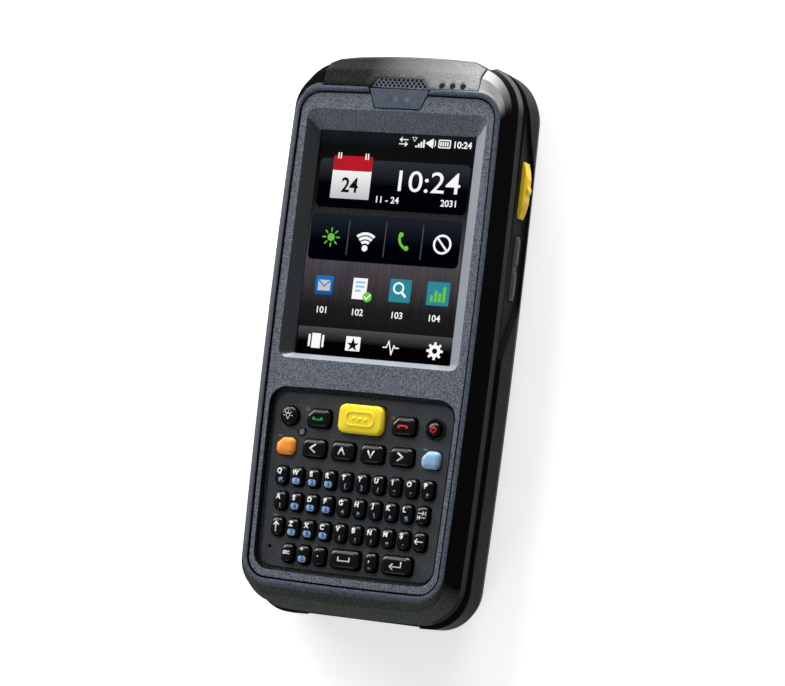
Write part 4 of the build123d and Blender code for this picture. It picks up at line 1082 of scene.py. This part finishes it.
screenParts = {
    # plate: left, right, top, foot, corner, ink, layer
    # glyph: text, across, down, height, ink, layer, weight, stretch
    # arc: across, down, radius, width, span, heading, ink, layer
    # strokes: paths, width, across, down, ink, layer
    # left, right, top, foot, across and down are shares of the screen from its upper left corner,
    # span and heading are in degrees, and the rest is in mm
    "statusBar": [  # arrows, aerial, speaker, battery, clock, bars, cells and sound
        ("glyph", "⇆", 0.535, 0.032, 2.3, "white", 1, 0.05),
        ("glyph", "▽", 0.604, 0.020, 1.4, "white", 1),
        ("glyph", "◀", 0.700, 0.033, 2.5, "white", 1),
        ("plate", 0.758, 0.838, 0.014, 0.052, 0.4, "white", 1),
        ("plate", 0.765, 0.831, 0.019, 0.047, 0.25, "ink", 2),
        ("glyph", "10:24", 0.916, 0.034, 2.1, "white", 1, 0.07),
        *[("plate", 0.612 + 0.016 * bar, 0.623 + 0.016 * bar, 0.046 - 0.009 * bar, 0.054, 0,
           "white", 1) for bar in range(4)],
        *[("plate", 0.770 + 0.0145 * cell, 0.779 + 0.0145 * cell, 0.023, 0.043, 0, "white", 3)
          for cell in range(4)],
        *[("arc", 0.706, 0.033, radius, 0.3, 80, 90, "white", 1) for radius in (1.0, 1.8)],
    ],
    "clockCard": [  # card with a number tile on rings, and a clock
        ("plate", 0.012, 0.982, 0.122, 0.342, 1.6, "card1", 1),
        ("plate", 0.098, 0.352, 0.150, 0.300, 0.2, "paper", 2),
        ("plate", 0.098, 0.352, 0.108, 0.175, 0.4, "red", 3),
        ("glyph", "24", 0.22, 0.238, 4.7, "ink", 3, 0.14, 0.9),
        ("glyph", "10:24", 0.730, 0.206, 6.8, "white", 2, 0.02, 1.12),
        ("glyph", "11 - 24", 0.475, 0.294, 2.1, "white", 2, 0.05),
        ("glyph", "2031", 0.865, 0.294, 2.1, "white", 2, 0.05),
        *[("plate", left, left + 0.008, 0.094, 0.122, 0.12, "white", 4)
          for left in (0.122, 0.138, 0.300, 0.316)],
    ],
    "signCard": [  # sun, aerial, handset and ring, with dividers between them
        ("plate", 0.0, 0.972, 0.368, 0.578, 1.6, "card2", 1),
        ("glyph", "●", 0.14, 0.475, 2.4, "green", 2),
        ("strokes", spokes(2.0, 2.8, 8), 0.45, 0.14, 0.475, "green", 2),
        ("glyph", "●", 0.365, 0.515, 1.9, "white", 2),
        ("arc", 0.650, 0.457, 3.6, 0.85, 92, 241, "green", 2),
        ("glyph", "●", 0.591, 0.444, 1.5, "green", 2),
        ("glyph", "●", 0.632, 0.503, 1.5, "green", 2),
        ("arc", 0.858, 0.475, 2.75, 0.7, 360, 0, "white", 2),
        ("strokes", [((-1.7, 1.9), (1.7, -1.9))], 0.65, 0.858, 0.475, "white", 2),
        *[("plate", left, left + 0.006, 0.395, 0.55, 0, "grey", 2)
          for left in (0.247, 0.487, 0.725)],
        *[("arc", 0.365, 0.515, radius, 0.9, 84, 0, "white", 2) for radius in (2.0, 3.3, 4.6)],
    ],
    "tiles": [  # letter, ticked sheet, lens and bars, with a plain number under each
        ("plate", 0.075, 0.190, 0.648, 0.732, 0.5, "blue", 1),
        ("plate", 0.092, 0.173, 0.667, 0.715, 0.1, "paper", 2),
        ("strokes", [((-2.0, 1.5), (0, -0.3), (2.0, 1.5))], 0.35, 0.1325, 0.691, "blue", 3),
        ("plate", 0.320, 0.412, 0.648, 0.742, 0.1, "white", 1),
        ("glyph", "●", 0.420, 0.730, 3.0, "green", 4),
        ("strokes", [((-0.9, 0.0), (-0.2, -0.7), (1.0, 0.8))], 0.4, 0.420, 0.730, "white", 5),
        ("plate", 0.558, 0.695, 0.640, 0.742, 0.4, "teal", 1),
        ("arc", 0.615, 0.680, 1.6, 0.6, 360, 0, "white", 2),
        ("strokes", [((1.2, -1.2), (2.4, -2.4))], 0.8, 0.615, 0.680, "white", 2),
        ("plate", 0.798, 0.940, 0.640, 0.744, 0.4, "teal", 1),
        *[("plate", 0.336, right, 0.662 + 0.019 * line, 0.671 + 0.019 * line, 0, "sky", 2)
          for line, right in enumerate((0.396, 0.396, 0.375))],
        *[("plate", 0.821 + 0.026 * bar, 0.839 + 0.026 * bar, 0.728 - height, 0.728, 0, "green", 2)
          for bar, height in enumerate((0.028, 0.050, 0.040, 0.068))],
        *[("glyph", str(101 + tile), across, 0.80, 2.1, "white", 2, 0.05)
          for tile, across in enumerate((0.135, 0.37, 0.625, 0.865))],
    ],
    "footBar": [  # star, beat, sun and three keys
        ("plate", 0.0, 1.0, 0.878, 1.0, 0, "bar", 1),
        ("plate", 0.318, 0.412, 0.908, 0.972, 0.2, "white", 2),
        ("glyph", "★", 0.365, 0.942, 3.6, "ink", 3),
        ("strokes", [((-2.6, -0.1), (-1.5, -0.1), (-0.8, 1.9), (0.3, -2.2), (1.0, 0.6), (1.5, -0.1),
                      (2.6, -0.1))], 0.38, 0.61, 0.942, "white", 2),
        ("arc", 0.89, 0.942, 1.4, 1.1, 360, 0, "white", 2),
        ("strokes", spokes(1.8, 2.35, 8), 0.8, 0.89, 0.942, "white", 2),
        *[("plate", left, right, 0.906 + gap, 0.972 - gap, 0.1, "white", 2) for left, right, gap
          in ((0.072, 0.086, 0.006), (0.095, 0.152, 0), (0.161, 0.175, 0.006))],
    ],
}


def screenPlace(across, down, layer):
    return (screen["centre"][0] + (across - 0.5) * screen["size"][0],
            screen["centre"][1] + (0.5 - down) * screen["size"][1],
            screen["level"] + layer * screen["step"])


def screenPlate(left, right, top, foot, corner, ink, layer):
    return makePlate((right - left) * screen["size"][0], (foot - top) * screen["size"][1], corner,
                     *screenPlace((left + right) / 2, (top + foot) / 2, layer), screenInks[ink])


def screenGlyph(text, across, down, height, ink, layer, weight=0.0, stretch=1.0):
    return makeGlyph(text, height, *screenPlace(across, down, layer), screenInks[ink], weight,
                     stretch)


def screenArc(across, down, radius, width, span, heading, ink, layer):
    return makeArc(radius, width, span, heading, *screenPlace(across, down, layer), screenInks[ink])


def screenStrokes(paths, width, across, down, ink, layer):
    return makeStrokes(paths, width, *screenPlace(across, down, layer), screenInks[ink])


def addScreenPicture():
    makers = {"plate": screenPlate, "glyph": screenGlyph, "arc": screenArc,
              "strokes": screenStrokes}
    parts = [makers[kind](*values) for entries in screenParts.values() for kind, *values in entries]
    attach(joinPieces(parts, "screenPicture"), "terminal")


addScreenPicture()
print("stage: screen done")

studio = {
    "floorSize": 6.0,
    "floorLevel": -0.0002,
    "floorHex": "#e8e8e8",
    "floorGlow": 0.6,  # where it is seen, and none where it lights things
    "worldHex": "#ffffff",
    "worldStrength": 0.2,
    # soft boxes: place in metres, width and height, power in watts
    "boxes": {
        "key": ((-0.49, 0.92, 1.10), (0.3, 0.3), 5.0),
        "head": ((0.16, 1.15, 0.17), (1.0, 0.3), 28.0),
        "left": ((-0.86, 0.64, 0.36), (0.8, 0.4), 10.0),
        "foot": ((-0.35, -1.00, 0.40), (0.4, 0.4), 2.5),
    },
}


def seenDirectly(tree):
    # 1 for what the camera, a reflection or glass shows, and 0 for the light that falls on things
    rays = addNode(tree, "ShaderNodeLightPath")
    seen = (rays, "Is Camera Ray")
    for kind in ("Is Glossy Ray", "Is Transmission Ray"):
        seen = addNode(tree, "ShaderNodeMath", {"operation": "MAXIMUM"}, {0: seen, 1: (rays, kind)})
    return seen


def addFloor():
    bpy.ops.object.select_all(action="DESELECT")
    bpy.ops.mesh.primitive_plane_add(size=studio["floorSize"],
                                     location=(0, 0, studio["floorLevel"]))
    floor = bpy.context.object
    applyPlace(floor)
    floor.name = "studioFloor"
    # matt backdrop paper
    paper, tree, shader = startMaterial("paperFloor", {
        "Base Color": linearColor(studio["floorHex"]), "Roughness": 0.9, "Specular IOR Level": 0.1,
        "Emission Color": linearColor("#ffffff")})
    glow = addNode(tree, "ShaderNodeMath", {"operation": "MULTIPLY"}, {
        0: seenDirectly(tree), 1: studio["floorGlow"]})
    setInputs(tree, shader, {"Emission Strength": glow})
    setFinish(floor, paper)


def addWorld():
    world = bpy.data.worlds.new("studioWorld")
    bpy.context.scene.world = world
    world.use_nodes = True
    tree = world.node_tree
    tree.nodes.clear()
    strength = addNode(tree, "ShaderNodeMath", {"operation": "MULTIPLY_ADD"}, {
        0: seenDirectly(tree), 1: 1.0 - studio["worldStrength"], 2: studio["worldStrength"]})
    sky = addNode(tree, "ShaderNodeBackground", None, {
        "Color": linearColor(studio["worldHex"]), "Strength": strength})
    addNode(tree, "ShaderNodeOutputWorld", None, {"Surface": sky})


def addBoxes():
    for name, (place, (width, height), power) in studio["boxes"].items():
        data = bpy.data.lights.new(f"{name}Box", "AREA")
        data.shape = "RECTANGLE"
        data.size = width
        data.size_y = height
        data.energy = power
        lamp = bpy.data.objects.new(f"{name}Box", data)
        bpy.context.collection.objects.link(lamp)
        lamp.location = place
        lamp.rotation_mode = "QUATERNION"
        lamp.rotation_quaternion = (-Vector(place)).to_track_quat("-Z", "Y")


addFloor()
addWorld()
addBoxes()
bpy.context.scene.view_settings.view_transform = "Standard"
print("stage: studio done")
